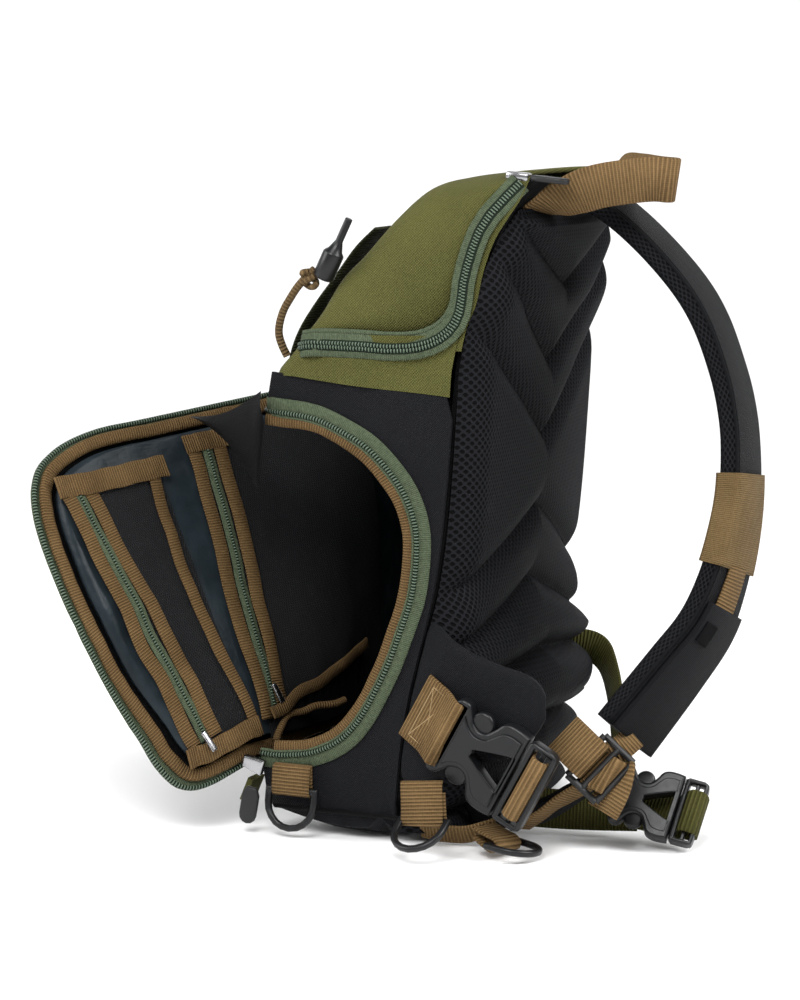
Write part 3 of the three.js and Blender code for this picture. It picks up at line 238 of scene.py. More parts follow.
def mesh_object(name, points, faces, material, uvs=None):
    mesh = bpy.data.meshes.new(name)
    mesh.from_pydata([tuple(p) for p in points], [], faces)
    if uvs:
        layer = mesh.uv_layers.new(name="length")
        for face in mesh.polygons:
            for corner, vertex in zip(face.loop_indices, face.vertices):
                layer.data[corner].uv = uvs[vertex]
    for face in mesh.polygons:
        face.use_smooth = True
    mesh.materials.append(material)
    made = bpy.data.objects.new(name, mesh)
    bpy.context.collection.objects.link(made)
    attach(made, "bag")
    return made


# Height, front line, back line and half width, each as a share of the whole.
PROFILE = [
    (0.0, -0.483, 0.183, 1.0),
    (0.054, -0.517, 0.2, 1.0),
    (0.114, -0.542, 0.217, 1.0),
    (0.212, -0.538, 0.267, 1.0),
    (0.328, -0.533, 0.333, 1.0),
    (0.43, -0.525, 0.392, 1.0),
    (0.521, -0.517, 0.425, 1.0),
    (0.662, -0.5, 0.458, 0.978),
    (0.691, -0.479, 0.463, 0.973),
    (0.716, -0.433, 0.475, 0.963),
    (0.76, -0.41, 0.505, 0.946),
    (0.795, -0.4, 0.546, 0.92),
    (0.842, -0.39, 0.575, 0.893),
    (0.886, -0.38, 0.62, 0.857),
    (0.919, -0.37, 0.68, 0.82),
    (0.948, -0.36, 0.735, 0.778),
    (1.0, -0.35, 0.775, 0.66),
]


def read(table, column, place):
    # One column of a table, smoothly between its rows.
    last = len(table) - 1
    if place <= table[0][0]:
        return table[0][column]
    if place >= table[last][0]:
        return table[last][column]
    i = max(k for k in range(last) if table[k][0] <= place)

    def slope(k):
        a, b = table[max(k - 1, 0)], table[min(k + 1, last)]
        return (b[column] - a[column]) / (b[0] - a[0])

    step = table[i + 1][0] - table[i][0]
    t = (place - table[i][0]) / step
    h = t * t * (3 - 2 * t)
    rise = t * (1 - t) * (1 - t) * slope(i) - t * t * (1 - t) * slope(i + 1)
    return table[i][column] * (1 - h) + table[i + 1][column] * h + step * rise


def front_x(z):
    return read(PROFILE, 1, z / HEIGHT) * DEPTH


def back_x(z):
    return read(PROFILE, 2, z / HEIGHT) * DEPTH


def side_half(x, z):
    taper = 0.14 * mix(0.12, 1, ease((z / HEIGHT - 0.18) / 0.2))
    return read(PROFILE, 3, z / HEIGHT) * HALF * (1 - taper * ease((x - back_x(z)) / 62 + 1))


def spline(points, t):
    place = t * (len(points) - 1)
    i = min(int(place), len(points) - 2)
    f = place - i
    p0, p1 = points[max(i - 1, 0)], points[i]
    p2, p3 = points[i + 1], points[min(i + 2, len(points) - 1)]
    v0, v1 = (p2 - p0) * 0.5, (p3 - p1) * 0.5
    return (p1 * 2 - p2 * 2 + v0 + v1) * f**3 + (p1 * -3 + p2 * 3 - v0 * 2 - v1) * f**2 + v0 * f + p1


def sweep(name, stations, section, material, wave=None):
    # A section of (across, out) places in mm along stations of (place, across, out), with lengths as its UV.
    rings = []
    uvs = []
    run = 0.0
    girth = [0.0]
    for a, b in zip(section, section[1:]):
        girth.append(girth[-1] + math.dist(a, b) * 0.001)
    for k, (place, across, out) in enumerate(stations):
        if k:
            run += (place - stations[k - 1][0]).length
        extra = wave(run) if wave else (0.0, 0.0)
        for j, (a, b) in enumerate(section):
            rings.append(place + across * (a + extra[0]) * 0.001 + out * (b + extra[1]) * 0.001)
            uvs.append((girth[j], run))
    n = len(section)
    faces = []
    last = (len(stations) - 1) * n
    for a in range(0, last, n):
        for j in range(a, a + n - 1):
            faces.append((j, j + 1, j + n + 1, j + n))
    made = mesh_object(name, rings, faces, material, uvs)
    work = bmesh.new()
    work.from_mesh(made.data)
    work.verts.ensure_lookup_table()
    for start in (0, last):
        work.faces.new([work.verts[start + j] for j in range(n - 1)])
    bmesh.ops.recalc_face_normals(work, faces=work.faces)
    work.to_mesh(made.data)
    work.free()
    return made


def stations(line, wide, count, start=0.0, end=1.0, lift=0.0):
    # Places along a smooth line, each with the direction across the strip and the one out of its face.
    run = []
    for t in steps(count):
        u = mix(start, end, t)
        place = spline(line, u)
        along = (spline(line, min(1, u + 0.01)) - spline(line, max(0, u - 0.01))).normalized()
        across = spline(wide, u)
        across = (across - along * across.dot(along)).normalized()
        out = along.cross(across).normalized()
        run.append((place + out * lift * 0.001, across, out))
    return run


def flat_section(width, thick):
    w, t = width / 2, thick
    r = min(0.45 * t, 0.8)
    return [(-w, r), (-w + r, t), (w - r, t), (w, r), (w, 0), (-w, 0), (-w, r)]


def round_section(radius, count=9):
    turns = [2 * math.pi * i / (count - 1) for i in range(count)]
    return [(radius * math.cos(turn), radius * math.sin(turn)) for turn in turns]


def zip_paint(name, low, high):
    paint = Paint(name)
    _, v, _ = paint.place("UV")
    rib = (v * (2 * math.pi / 0.0011)).sine()
    grain = paint.noise(500.0, 2.0)
    share = (rib * 0.18 + grain * 0.8 + 0.05).ramp(0.1, 0.9)
    return paint.finish(paint.colour(low, high, share), 0.8, rib + grain, 0.0002, 0.08)


ZIP_TAPE = zip_paint("sage zip tape", (0.036, 0.048, 0.029), (0.1, 0.125, 0.075))
coil = Paint("zip coil")
_, coil_length, _ = coil.place("UV")
tooth = (coil_length * (2 * math.pi / 0.0019)).sine()
# The coil is painted near black between its turns as painted shade, and light green on the turns.
ZIP_COIL = coil.finish(
    coil.colour((0.004, 0.009, 0.005), (0.12, 0.16, 0.115), tooth.ramp(-0.5, 0.6)), 0.35, tooth, 0.0006
)

OPENING_BOTTOM = 38.0
OPENING_HEIGHT = 225.0
OPENING_REACH = 109.0
OPENING_EDGE = [
    (1.0, 0.0),
    (0.991, 0.248),
    (0.969, 0.417),
    (0.916, 0.63),
    (0.836, 0.787),
    (0.747, 0.894),
    (0.64, 0.944),
    (0.498, 0.925),
    (0.378, 0.867),
    (0.267, 0.8),
    (0.147, 0.68),
    (0.067, 0.538),
    (0.018, 0.349),
    (0.0, 0.138),
    (0.0, 0.0),
]
edge_foot = front_x(OPENING_BOTTOM)
edge_top = front_x(OPENING_BOTTOM + OPENING_HEIGHT)
edge_points = [
    Vector((mix(edge_foot, edge_top, rise) + reach * OPENING_REACH, OPENING_BOTTOM + rise * OPENING_HEIGHT))
    for rise, reach in OPENING_EDGE
]


def edge_place(t, inset, sign=-1):
    p = spline(edge_points, t)
    d = (spline(edge_points, min(1, t + 0.002)) - spline(edge_points, max(0, t - 0.002))).normalized()
    x, z = p.x + d.y * inset, p.y - d.x * inset
    return Vector((x, sign * side_half(x, z), z))


def edge_run(inset, lift, sign=-1, turn=True, end=1.0):
    # Round the opening's edge. With turn it starts on the far side, crosses the front and rounds the corner.
    run = []
    if turn:
        top = OPENING_BOTTOM + OPENING_HEIGHT - inset
        x = front_x(top) - 1.6
        half = side_half(x, top)
        for t in steps(24):
            y = mix(half - 4, -half + 10, t)
            run.append((at(x - lift, y, top), Vector((0, 0, -1)), Vector((-1, 0, 0))))
        for k in steps(8)[1:-1]:
            a = k * math.pi / 2
            place = at(x + 9 - 9.5 * math.cos(a) - lift * math.cos(a), -half + 9.5 - 10 * math.sin(a), top)
            run.append((place, Vector((0, 0, -1)), Vector((-math.cos(a), -math.sin(a), 0))))
    for t in steps(150):
        if t > end or turn and t < 0.028:
            continue
        here = edge_place(t, inset, sign)
        across = (edge_place(t, inset + 1, sign) - here).normalized()
        out = Vector((0, sign, 0))
        out = (out - across * out.dot(across)).normalized()
        run.append((at(*here) + out * lift * 0.001, across, out))
    return run


opening = sweep("opening_tape", edge_run(4.4, 0.2), flat_section(9.6, 1.5), ZIP_TAPE)
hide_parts("opening_zip_tape")
sweep("opening_coil", edge_run(8.0, 1.9), round_section(1.5), ZIP_COIL)
sweep("opening_cord", edge_run(10.3, 1.2), round_section(1.0), ZIP_TAPE)
far = sweep("far_tape", edge_run(8, 0.6, 1, False), flat_section(14, 1.6), ZIP_TAPE)
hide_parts("far_zip_tape")
for side in (-1, 1):
    row = [(p + a * side * 0.0012, a, o) for p, a, o in edge_run(8, 2.4, 1, False)]
    sweep(f"far_coil_{side + 2}", row, round_section(1.25), ZIP_COIL)


# Opening binding: coyote grosgrain tape folded over the raw edge inside the opening and sewn down.
# It is gathered a little, as tape sewn round a curve is.
def ribbed(name, low, high, pitch, rough=0.75, depth=0.0005):
    paint = Paint(name)
    u, v, _ = paint.place("UV")
    rib = (v * (2 * math.pi / pitch)).sine()
    thread = (u * (2 * math.pi / 0.0012)).sine()
    grain = paint.noise(700.0, 2.0)
    broad = paint.noise(45.0, 2.0)
    share = (rib * 0.24 + thread * 0.07 + grain * 0.45 + broad * 0.5).ramp(0.05, 0.9)
    return paint.finish(paint.colour(low, high, share), rough, rib + grain * 0.5, depth, 0.08)


BINDING = ribbed("coyote grosgrain", (0.048, 0.027, 0.010), (0.185, 0.115, 0.05), 0.0017)


def gathered(seed, size=0.7):
    def wave(run):
        n = noise.noise(Vector((run * 42, seed, 0)))
        m = noise.noise(Vector((run * 95, seed + 9, 0)))
        return (n * size, m * size * 0.7)

    return wave


def hem_section(width, thick):
    w = width / 2
    return [
        (-w, 0),
        (-w, thick * 0.55),
        (-w * 0.7, thick),
        (w * 0.5, thick * 0.9),
        (w, thick * 0.4),
        (w, -thick * 0.3),
        (w * 0.5, -thick * 0.6),
        (-w * 0.6, -thick * 0.2),
        (-w, 0),
    ]


binding_run = edge_run(13, -0.6, -1, False, 0.955)
binding = sweep("opening_hem", binding_run, hem_section(6.6, 2.4), BINDING, wave=gathered(1))
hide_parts("opening_binding")

# Front panel: black nylon outside and a satin lining with soft wrinkles inside, sewn together at the rim.
# Unzipped, it stays joined to the bag at its far and lower edges, and bends about its diagonal.
# Its places are flat ones in mm, w from the far edge and h from the lower edge.
DOOR_W = 224.0
SWING = math.radians(38)
BEND = 90.0
FLAP = 89.0
ALONG = Vector((DOOR_W, -OPENING_HEIGHT)).normalized()
SQUARE = Vector((OPENING_HEIGHT, DOOR_W)).normalized()
DOOR_FRONT = front_x(OPENING_BOTTOM) - 2.5


def door(w, h, off):
    q = Vector((w, h - OPENING_HEIGHT))
    s, t = q.dot(ALONG), q.dot(SQUARE)
    radius = BEND / SWING
    angle = min(1, max(0, (t + BEND / 2) / BEND)) * SWING
    past, start = max(0, t - BEND / 2), min(t, -BEND / 2)
    across = start + radius * math.sin(angle) + past * math.cos(angle) + off * math.sin(angle)
    out = radius * (1 - math.cos(angle)) + past * math.sin(angle) - off * math.cos(angle)
    bend = ALONG * s + SQUARE * across
    loose = min(1, max(0, (w - DOOR_W) / (FLAP * 0.67))) * min(1, max(0, 1 - h / (OPENING_HEIGHT * 0.49)))
    droop = 20.0 * loose
    top = OPENING_BOTTOM + OPENING_HEIGHT
    return at(DOOR_FRONT - out - 0.8 * droop, HALF - bend.x, top + bend.y - droop)


FLAP_EDGE = [
    (0.0, 0.3),
    (0.03, 0.47),
    (0.1, 0.58),
    (0.19, 0.66),
    (0.3, 0.79),
    (0.4, 0.89),
    (0.5, 0.97),
    (0.64, 1.0),
    (0.75, 1.0),
    (0.83, 0.97),
    (0.89, 0.91),
    (0.94, 0.8),
    (0.98, 0.58),
    (1.0, 0.28),
]
door_flat = [Vector((mix(5, DOOR_W - 6, t), OPENING_HEIGHT)) for t in steps(9)]
door_flat += [Vector((DOOR_W + FLAP * r, h * OPENING_HEIGHT)) for h, r in reversed(FLAP_EDGE)]
door_flat += [Vector((mix(DOOR_W - 2, 5, t), 0)) for t in steps(7)]


def rim(t, inset):
    p = spline(door_flat, t)
    d = (spline(door_flat, min(1, t + 0.004)) - spline(door_flat, max(0, t - 0.004))).normalized()
    return Vector((p.x + d.y * inset, p.y - d.x * inset))


def rim_run(inset, lift):
    run = []
    for t in steps(260):
        f = rim(t, inset)
        g = rim(t, inset + 1)
        here = door(f.x, f.y, lift)
        across = (door(g.x, g.y, lift) - here).normalized()
        out = (door(f.x, f.y, lift + 1) - here).normalized()
        run.append((here, across, out))
    return run


satin = Paint("satin lining")
crease = satin.noise(38.0, 4.0)
# The lining's colour follows its wrinkle noise: darker in the creases as painted shade, lighter on the
# ridges.
crease_shaded_tone = satin.colour((0.005, 0.0078, 0.01), (0.02, 0.0275, 0.033), crease.ramp(0.25, 0.75))
LINING = satin.finish(crease_shaded_tone, 0.36, crease, 0.0022, 0.1)


def grid_faces(rows, columns):
    # The faces between rows of places that were laid down one row after another.
    starts = [j * columns + i for j in range(rows - 1) for i in range(columns - 1)]
    return [(a, a + 1, a + columns + 1, a + columns) for a in starts]


def thicken(made, thickness, offset):
    sides = made.modifiers.new("thick", "SOLIDIFY")
    sides.thickness = thickness
    sides.offset = offset


def panel_places(inset, margin):
    # Rows of flat places from the hinge to the rim.
    places = []
    for t in steps(90):
        end = rim(t, inset)
        end.x = max(end.x, 6.5)
        hinge = Vector((5, mix(OPENING_HEIGHT - margin, margin, t)))
        places += [hinge.lerp(end, u) for u in steps(40)]
    return places


panel_faces = grid_faces(90, 40)
lining_points = []
for f in panel_places(15.0, 16):
    ripple = noise.noise(Vector((f.x * 0.045, f.y * 0.02, 3))) * 1.8 + noise.noise(f.to_3d() * 0.09) * 0.6
    lining_points.append(door(f.x, f.y, 1.2 + ripple))
lining = mesh_object("door_lining", lining_points, panel_faces, LINING)
thicken(lining, 0.0035, 0.0)
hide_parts("door_panel")
outside_points = [door(f.x, f.y, -4.4) for f in panel_places(7.0, 8)]
mesh_object("door_outside", outside_points, panel_faces, BLACK_CLOTH)

# Rim of the front panel: sage zip tape outside with its nylon coil on the edge.
# Gathered coyote binding is folded over the edge inside and sewn through both.
door_tape = sweep("door_tape", rim_run(3.2, -3.4), flat_section(7.0, 1.6), ZIP_TAPE)
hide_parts("door_zip_tape")
sweep("door_coil", rim_run(1.2, -1.4), round_section(1.6), ZIP_COIL)
rim_wave = gathered(4, 0.9)
door_hem = sweep("door_hem", rim_run(8.0, -0.6), hem_section(8.0, 3.0), BINDING, wave=rim_wave)
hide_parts("door_binding")

# Mesh pockets: black knitted netting over the lining, framed by coyote grosgrain tapes sewn to the panel.
# Each has a narrow sage coil zip between two of its tapes.
net = Paint("netting")
nu, nv, _ = net.place("UV")
cell = 2 * math.pi / 0.0031
strand = ((nu + nv * 0.55) * cell).sine().size().least(((nu - nv * 0.55) * cell).sine().size())
solid = 1.0 - strand.above(0.5) * 0.4
NETTING = net.finish((0.004, 0.004, 0.005), 0.7, strand * -1.0, 0.0006, 0.3, Alpha=solid)


def net_sheet(name, corner, count, lift, node):
    points = []
    uvs = []
    for t in steps(count):
        for u in steps(count):
            f = corner(u, t)
            sag = noise.noise(Vector((f.x * 0.05, f.y * 0.05, 7))) * 1.3
            points.append(door(f.x, f.y, lift + sag))
            uvs.append((f.x * 0.001, f.y * 0.001))
    made = mesh_object(name, points, grid_faces(count, count), NETTING, uvs)
    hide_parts(node)


def flat_run(points, lift, seed, wobble=1.0, count=60):
    # A line on the front panel through flat places, wandering a little as sewn tape does.
    run = []
    line = [Vector(p) for p in points]
    for t in steps(count):
        p = spline(line, t)
        d = (spline(line, min(1, t + 0.01)) - spline(line, max(0, t - 0.01))).normalized()
        side = Vector((d.y, -d.x))
        p = p + side * noise.noise(Vector((t * 5, seed, 0))) * wobble * 1.6
        up = lift + noise.noise(Vector((t * 9, seed, 5))) * wobble
        here = door(p.x, p.y, up)
        across = (door(p.x + side.x, p.y + side.y, up) - here).normalized()
        run.append((here, across, (door(p.x, p.y, up + 1) - here).normalized()))
    return run


def pocket_corner(far, near, low, high):
    def corner(u, t):
        h = mix(low, high, t)
        return Vector((mix(mix(far[0], far[1], t), mix(near[0], near[1], t), u), h))

    return corner


net_sheet("pocket_net_1", pocket_corner((219, 221), (258, 290), 16, 192), 30, 5.0, "door_pocket_1")
net_sheet("pocket_net_2", pocket_corner((60, 60), (204, 194), 12, 204), 40, 5.0, "door_pocket_2")
POCKET_TAPES = [
    ("net_tape_1a", [(291, 190), (284, 150), (276, 100), (264, 60), (256, 24)], 9.0, 6.4),
    ("net_tape_1b", [(275, 190), (268, 150), (258, 100), (248, 60), (243, 26)], 9.0, 6.4),
    ("net_tape_1c", [(226, 188), (230, 140), (226, 80), (217, 22)], 8.0, 6.4),
    ("net_tape_1d", [(296, 192), (254, 191), (216, 191)], 14.0, 7.6),
    ("net_tape_1e", [(262, 19), (240, 19), (214, 22)], 12.0, 7.6),
    ("net_tape_2a", [(192, 200), (197, 140), (204, 90), (206, 24)], 9.5, 6.4),
    ("net_tape_2b", [(172, 200), (178, 140), (186, 90), (190, 30)], 9.5, 6.4),
    ("net_tape_2c", [(198, 201), (176, 201), (154, 201)], 12.0, 7.6),
]
for number, (name, line, width, lift) in enumerate(POCKET_TAPES):
    sweep(name, flat_run(line, lift, number), flat_section(width, 1.0), BINDING)
for name, line in (
    ("pocket_zip_1", [(283, 188), (276, 150), (267, 100), (256, 60), (249, 25)]),
    ("pocket_zip_2", [(182, 199), (187, 140), (195, 90), (198, 27)]),
):
    sweep(name, flat_run(line, 5.8, 3, 0.8), flat_section(7.5, 0.9), ZIP_TAPE)
    sweep(name + "_teeth", flat_run(line, 7.0, 3, 0.8), round_section(0.9), ZIP_COIL)

# Low pocket: pleated black cloth sewn low inside, its top edge drawn in by a coyote elastic hem.
# A second coyote edge runs on from it, low in the main compartment.
low_pocket = []
for t in steps(8):
    for u in steps(40):
        w = mix(92, 203, u)
        top = mix(0.24, 0.13, (w / DOOR_W - 0.42) / 0.5) * OPENING_HEIGHT
        pleat = 1.4 * math.sin(w * 0.62) * t
        low_pocket.append(door(w, mix(14, top, t), 8.5 + pleat))
low = mesh_object("low_pocket", low_pocket, grid_faces(8, 40), BLACK_CLOTH)
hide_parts("inner_pocket")
hem_line = [(92, 54), (120, 47), (150, 40), (180, 33), (204, 27)]
sweep("low_pocket_hem", flat_run(hem_line, 9.5, 8, 1.4, 80), flat_section(8.0, 1.6), BINDING)
SIDEWAYS = [Vector((0, 1, 0)), Vector((0, 1, 0))]
POCKET_EDGE = [
    (-63.1, -96.0, 49.9),
    (-63.7, -88.0, 56.5),
    (-64.0, -78.0, 62.0),
    (-60.7, -68.0, 63.0),
    (-54.6, -58.0, 65.4),
    (-47.0, -48.0, 65.5),
    (-44.3, -38.0, 66.4),
]
pocket_run = stations([at(*p) for p in POCKET_EDGE], SIDEWAYS, 70)
sweep("pocket_edge", pocket_run, round_section(2.4), BINDING, wave=gathered(6, 1.2))

# Gusset: a loose triangle of black nylon sewn to the front panel's top and to the bag's side.
# It stops the panel from falling right open, and hangs in soft folds with its tip down.
TOP_LEFT = Vector((-138, -62, 243))
TOP_RIGHT = Vector((-60, -119, 268))
TIP = Vector((-64, -114, 207))
TIP_SHARE = 0.86
gusset_points = []
for v in steps(30):
    for u in steps(30):
        top = TOP_LEFT.lerp(TOP_RIGHT, u) + Vector((0, 0, -5 * math.sin(u * math.pi)))
        if u < TIP_SHARE:
            low = TOP_LEFT.lerp(TIP, u / TIP_SHARE)
        else:
            low = TIP.lerp(TOP_RIGHT + Vector((2, 0, -18)), (u - TIP_SHARE) / 0.14)
        low = low + Vector((0, 0, 7 * math.sin(min(1, u / TIP_SHARE) * math.pi)))
        fold = noise.noise(Vector((u * 3, v * 2, 4))) * 5 * v
        gusset_points.append(at(*(top.lerp(low, v) + Vector((fold, -fold - 3 * math.sin(v * math.pi), 0)))))
gusset = mesh_object("gusset_cloth", gusset_points, grid_faces(30, 30), BLACK_CLOTH)
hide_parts("door_gusset")

# Top pocket: a soft lid of olive oxford nylon over the model's arches, closed by a coil zip round its edge.
# Sage piping is sewn into the seam, and the zip's sage tape lies outside it.
OLIVE_CLOTH = woven(
    "olive oxford", (0.032, 0.033, 0.0085), (0.118, 0.115, 0.033), 0.0018, 0.8, 0.12, folds=9.0
)
# A dark strip under the lid zip's two coil rows is painted shade in the gap between them.
COIL_SHADE_STRIP = Paint("zip shade").finish((0.009, 0.014, 0.009), 0.8)
# Foot x, foot z, crown x and crown z of each arch from front to back, as shares of the depth and height.
LID = [
    (-0.2, 0.7506, -0.367, 0.743),
    (-0.07, 0.7506, -0.29, 0.782),
    (0.04, 0.75, -0.2, 0.832),
    (0.15, 0.748, -0.1, 0.8667),
    (0.275, 0.7506, 0.05, 0.921),
    (0.375, 0.765, 0.2, 0.9605),
    (0.435, 0.7926, 0.35, 0.973),
    (0.465, 0.847, 0.49, 0.979),
    (0.535, 0.9136, 0.62, 0.983),
    (0.69, 0.974, 0.71, 0.984),
]
LID_SQUARE = 0.42
lid_rows = [Vector(row) for row in LID]


def lid(v, a):
    # A place on arch v, with a from -1 at the near foot to 1 at the far one.
    foot_x, foot_z, crown_x, crown_z = spline(lid_rows, v)
    angle = abs(a) * math.pi / 2
    k = max(math.cos(angle), 0.0) ** LID_SQUARE
    x = mix(foot_x, crown_x, k) * DEPTH
    z = mix(foot_z, crown_z, k) * HEIGHT
    half = side_half(foot_x * DEPTH, foot_z * HEIGHT) - 0.5
    y = math.copysign(half * math.sin(angle) ** LID_SQUARE, a)
    return Vector((x, y, z))


lid_points = []
for v in steps(60):
    for u in steps(65):
        s = mix(-1, 1, u)
        a = math.copysign(abs(s) ** 1.35, s)
        lid_points.append(at(*lid(v, a)))
lid_faces = [(a, d, c, b) for a, b, c, d in grid_faces(60, 65)]
lid_cloth = mesh_object("lid_cloth", lid_points, lid_faces, OLIVE_CLOTH)
thicken(lid_cloth, 0.0025, -1.0)
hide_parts("top_lid")


def lid_line():
    line = [lid(1 - t, -1) for t in steps(70)]
    line += [lid(0, mix(-1, 1, t)) for t in steps(110)[1:-1]]
    line += [lid(t, 1) for t in steps(70)]
    return line


def lid_run(offset, lift):
    # Along the lid's edge, moved outward by offset and off the cloth by lift.
    line = lid_line()
    middle = Vector((12, 0, HEIGHT * 0.86))
    run = []
    for i, p in enumerate(line):
        if i % 3:
            continue
        along = (line[min(i + 3, len(line) - 1)] - line[max(i - 3, 0)]).normalized()
        front = min(1, max(0, (-24 - p.x) / 12))
        rough = Vector((-front, math.copysign(1 - front * 0.8, p.y), 0.1)).normalized()
        across = along.cross(rough).normalized()
        if across.dot(middle - p) > 0:
            across = -across
        out = along.cross(across).normalized()
        if out.dot(rough) < 0:
            out = -out
        run.append((at(*p) + across * offset(p.z) * 0.001 + out * lift * 0.001, across, out))
    return run


def arm(z):
    # The tape runs closer to the seam on the arms that climb to the handle.
    return mix(1.0, 0.55, ease((z / HEIGHT - 0.76) / 0.06))


tape_run = lid_run(lambda z: 7.4 * arm(z) + 0.6, 1.7)
tape = sweep("lid_tape", tape_run, flat_section(14.5, 1.4), ZIP_TAPE)
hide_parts("top_zip_tape")
sweep("lid_piping", lid_run(lambda z: -0.2, 1.3), round_section(1.7), ZIP_TAPE)
# The painted shade strip lies under the coils.
sweep("lid_coil_shade", lid_run(lambda z: 6.6 * arm(z) + 1.6, 2.95), flat_section(6.6, 0.6), COIL_SHADE_STRIP)
sweep("lid_coil_1", lid_run(lambda z: 5.4 * arm(z) + 1.6, 3.4), round_section(1.35), ZIP_COIL)
sweep("lid_coil_2", lid_run(lambda z: 7.8 * arm(z) + 1.6, 3.4), round_section(1.35), ZIP_COIL)

# Olive cloth under and behind the lid's zip: a band sewn round the front, above the black walls.
# A gore of the same oxford nylon climbs each side to the pad.
SEAM_FRONT = 279.0


def top_seam(x):
    return SEAM_FRONT - 13 * min(1, max(0, (x - front_x(SEAM_FRONT)) / DEPTH))


def plan_line(sign):
    # Places from the back of one side to the middle of the front, as (share of the depth, turn, side).
    line = [(mix(1, 0, t), 0.0, sign) for t in steps(22)]
    line += [(0.0, a * math.pi / 2, sign) for a in steps(8)[1:]]
    return line


def band_point(share, turn, sign, v):
    # A place on the band, whose front corners are rounded off.
    round_off = 15.0
    x = front_x(290) + round_off
    if turn == 0.0:
        x = mix(x, back_x(290) - 2, share)
    z = mix(top_seam(x), 303, v)
    front = mix(front_x(z), -38, v * v)
    half = side_half(max(x, front), z) + 1.6
    if turn == 0.0:
        return at(mix(front + round_off, back_x(z) - 2, share), sign * half, z)
    spread = math.sin(turn) * round_off
    return at(front + round_off - spread, sign * (half - round_off * (1 - math.cos(turn))), z)


plan = plan_line(-1) + plan_line(1)[::-1]
band_points = [band_point(*place, v) for v in steps(8) for place in plan]
band = mesh_object("band_cloth", band_points, grid_faces(8, len(plan)), OLIVE_CLOTH)
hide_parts("top_band")
LID_SIDE = [(0.745, 0.3), (0.765, 0.375), (0.7926, 0.435), (0.847, 0.465), (0.9136, 0.535), (0.974, 0.69)]
for sign in (-1, 1):
    gore_points = []
    for t in steps(50):
        z = mix(294, 396, t)
        start = read(LID_SIDE, 1, z / HEIGHT) * DEPTH
        for u in steps(14):
            x = mix(min(start, back_x(z) - 4), back_x(z) + 1.5, u)
            gore_points.append(at(x, sign * (side_half(x, z) + 0.9), z))
    mesh_object(f"gore_{sign + 2}", gore_points, grid_faces(50, 14), OLIVE_CLOTH)

# Rod keeper: a strip of dark ribbed webbing up the lid's front, sewn down at its ends.
# It holds a rod, with the elastic above it.
STRIP_WEB = ribbed("dark webbing", (0.008, 0.009, 0.004), (0.03, 0.032, 0.014), 0.0021)
STRIP_LINE = [
    (-73, -44, 276),
    (-70, -44, 288),
    (-64, -44, 301),
    (-53, -44, 317),
    (-41, -44, 332),
    (-27, -44, 350),
    (-14, -44, 362),
]
strip_run = stations([at(*p) for p in STRIP_LINE], SIDEWAYS, 50)
strip = sweep("front_strip", strip_run, flat_section(24, 1.6), STRIP_WEB)
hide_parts("front_webbing")

# Back pad: foam covered in black knitted spacer mesh, sewn flat round its edge.
# Chevron lines of stitching pull it in, so that it swells between them, and it is thickest at the waist.
mesh_paint = Paint("spacer mesh")
mu, mv, _ = mesh_paint.place("UV")
pitch = math.pi / 0.0028
hole = ((mu + mv * 0.58) * pitch).sine() * ((mu - mv * 0.58) * pitch).sine()
dots = hole.size().ramp(0.3, 0.75)
soft = mesh_paint.noise(30.0, 3.0)
# The holes are painted darker than the knit as painted shade in them, with a soft random tone over the whole
# mesh.
hole_shade_share = (dots * 0.9 + soft * 0.25).ramp(0.15, 1.0)
spacer_tone_and_hole_shade = mesh_paint.colour((0.0085, 0.0088, 0.0105), (0.0008, 0.0008, 0.001), hole_shade_share)
SPACER = mesh_paint.finish(spacer_tone_and_hole_shade, 0.7, dots * -1.0, 0.0009, 0.06)
# Each line of stitching, as shares of the height: in the middle and at the sides.
CHANNELS = [
    (0.035, 0.035),
    (0.148, 0.123),
    (0.257, 0.222),
    (0.368, 0.277),
    (0.479, 0.363),
    (0.583, 0.756),
    (0.696, 0.862),
    (0.812, 0.912),
    (0.922, 0.922),
]
PAD_SIDES = [
    (0, 0.93),
    (0.2, 0.93),
    (0.28, 0.9),
    (0.35, 0.83),
    (0.42, 0.82),
    (0.76, 0.81),
    (0.83, 0.77),
    (0.88, 0.7),
    (0.93, 0.62),
]
PAD_LOW = 0.008
PAD_TOP = 0.93
LUMBAR = [(0.0, 19), (0.1, 27), (0.18, 33), (0.225, 31), (0.28, 20), (0.335, 7), (0.4, 0), (1, 0)]


def pad_depth(s, share):
    # Distance down the face to the nearest quilting line, which dents the foam, and to the sewn side.
    nearest = min(abs(share - mix(middle, edge, abs(s))) for middle, edge in CHANNELS) * HEIGHT
    slope = 0.82 if 0.15 < share < 0.9 else 1.0
    swell = 1 - (1 - min(1, nearest * slope / 17)) ** 2.6
    side = 1 - (1 - min(1, (1 - abs(s)) * 90 / 16)) ** 2.4
    end = 1 - (1 - min(1, (0.925 - share) * HEIGHT / 9)) ** 2 if share > 0.9 else 1.0
    body = 12.5 + read(LUMBAR, 1, share) * (1 - s * s * 0.5)
    return side * max(end, 0) * (body * 0.62 + (7.5 + 0.3 * read(LUMBAR, 1, share)) * swell)


pad_points = []
pad_uvs = []
for t in steps(300):
    share = mix(PAD_LOW, PAD_TOP, t)
    half = read(PAD_SIDES, 1, share) * HALF
    for u in steps(120):
        s = mix(-1, 1, u)
        x = back_x(share * HEIGHT) + 9 * (1 - s * s) + 1.2 + pad_depth(s, share)
        pad_points.append(at(x, s * half, share * HEIGHT))
        pad_uvs.append((s * half * 0.001, share * HEIGHT * 0.001))
pad = mesh_object("quilted_pad", pad_points, grid_faces(300, 120), SPACER, pad_uvs)
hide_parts("back_pad")

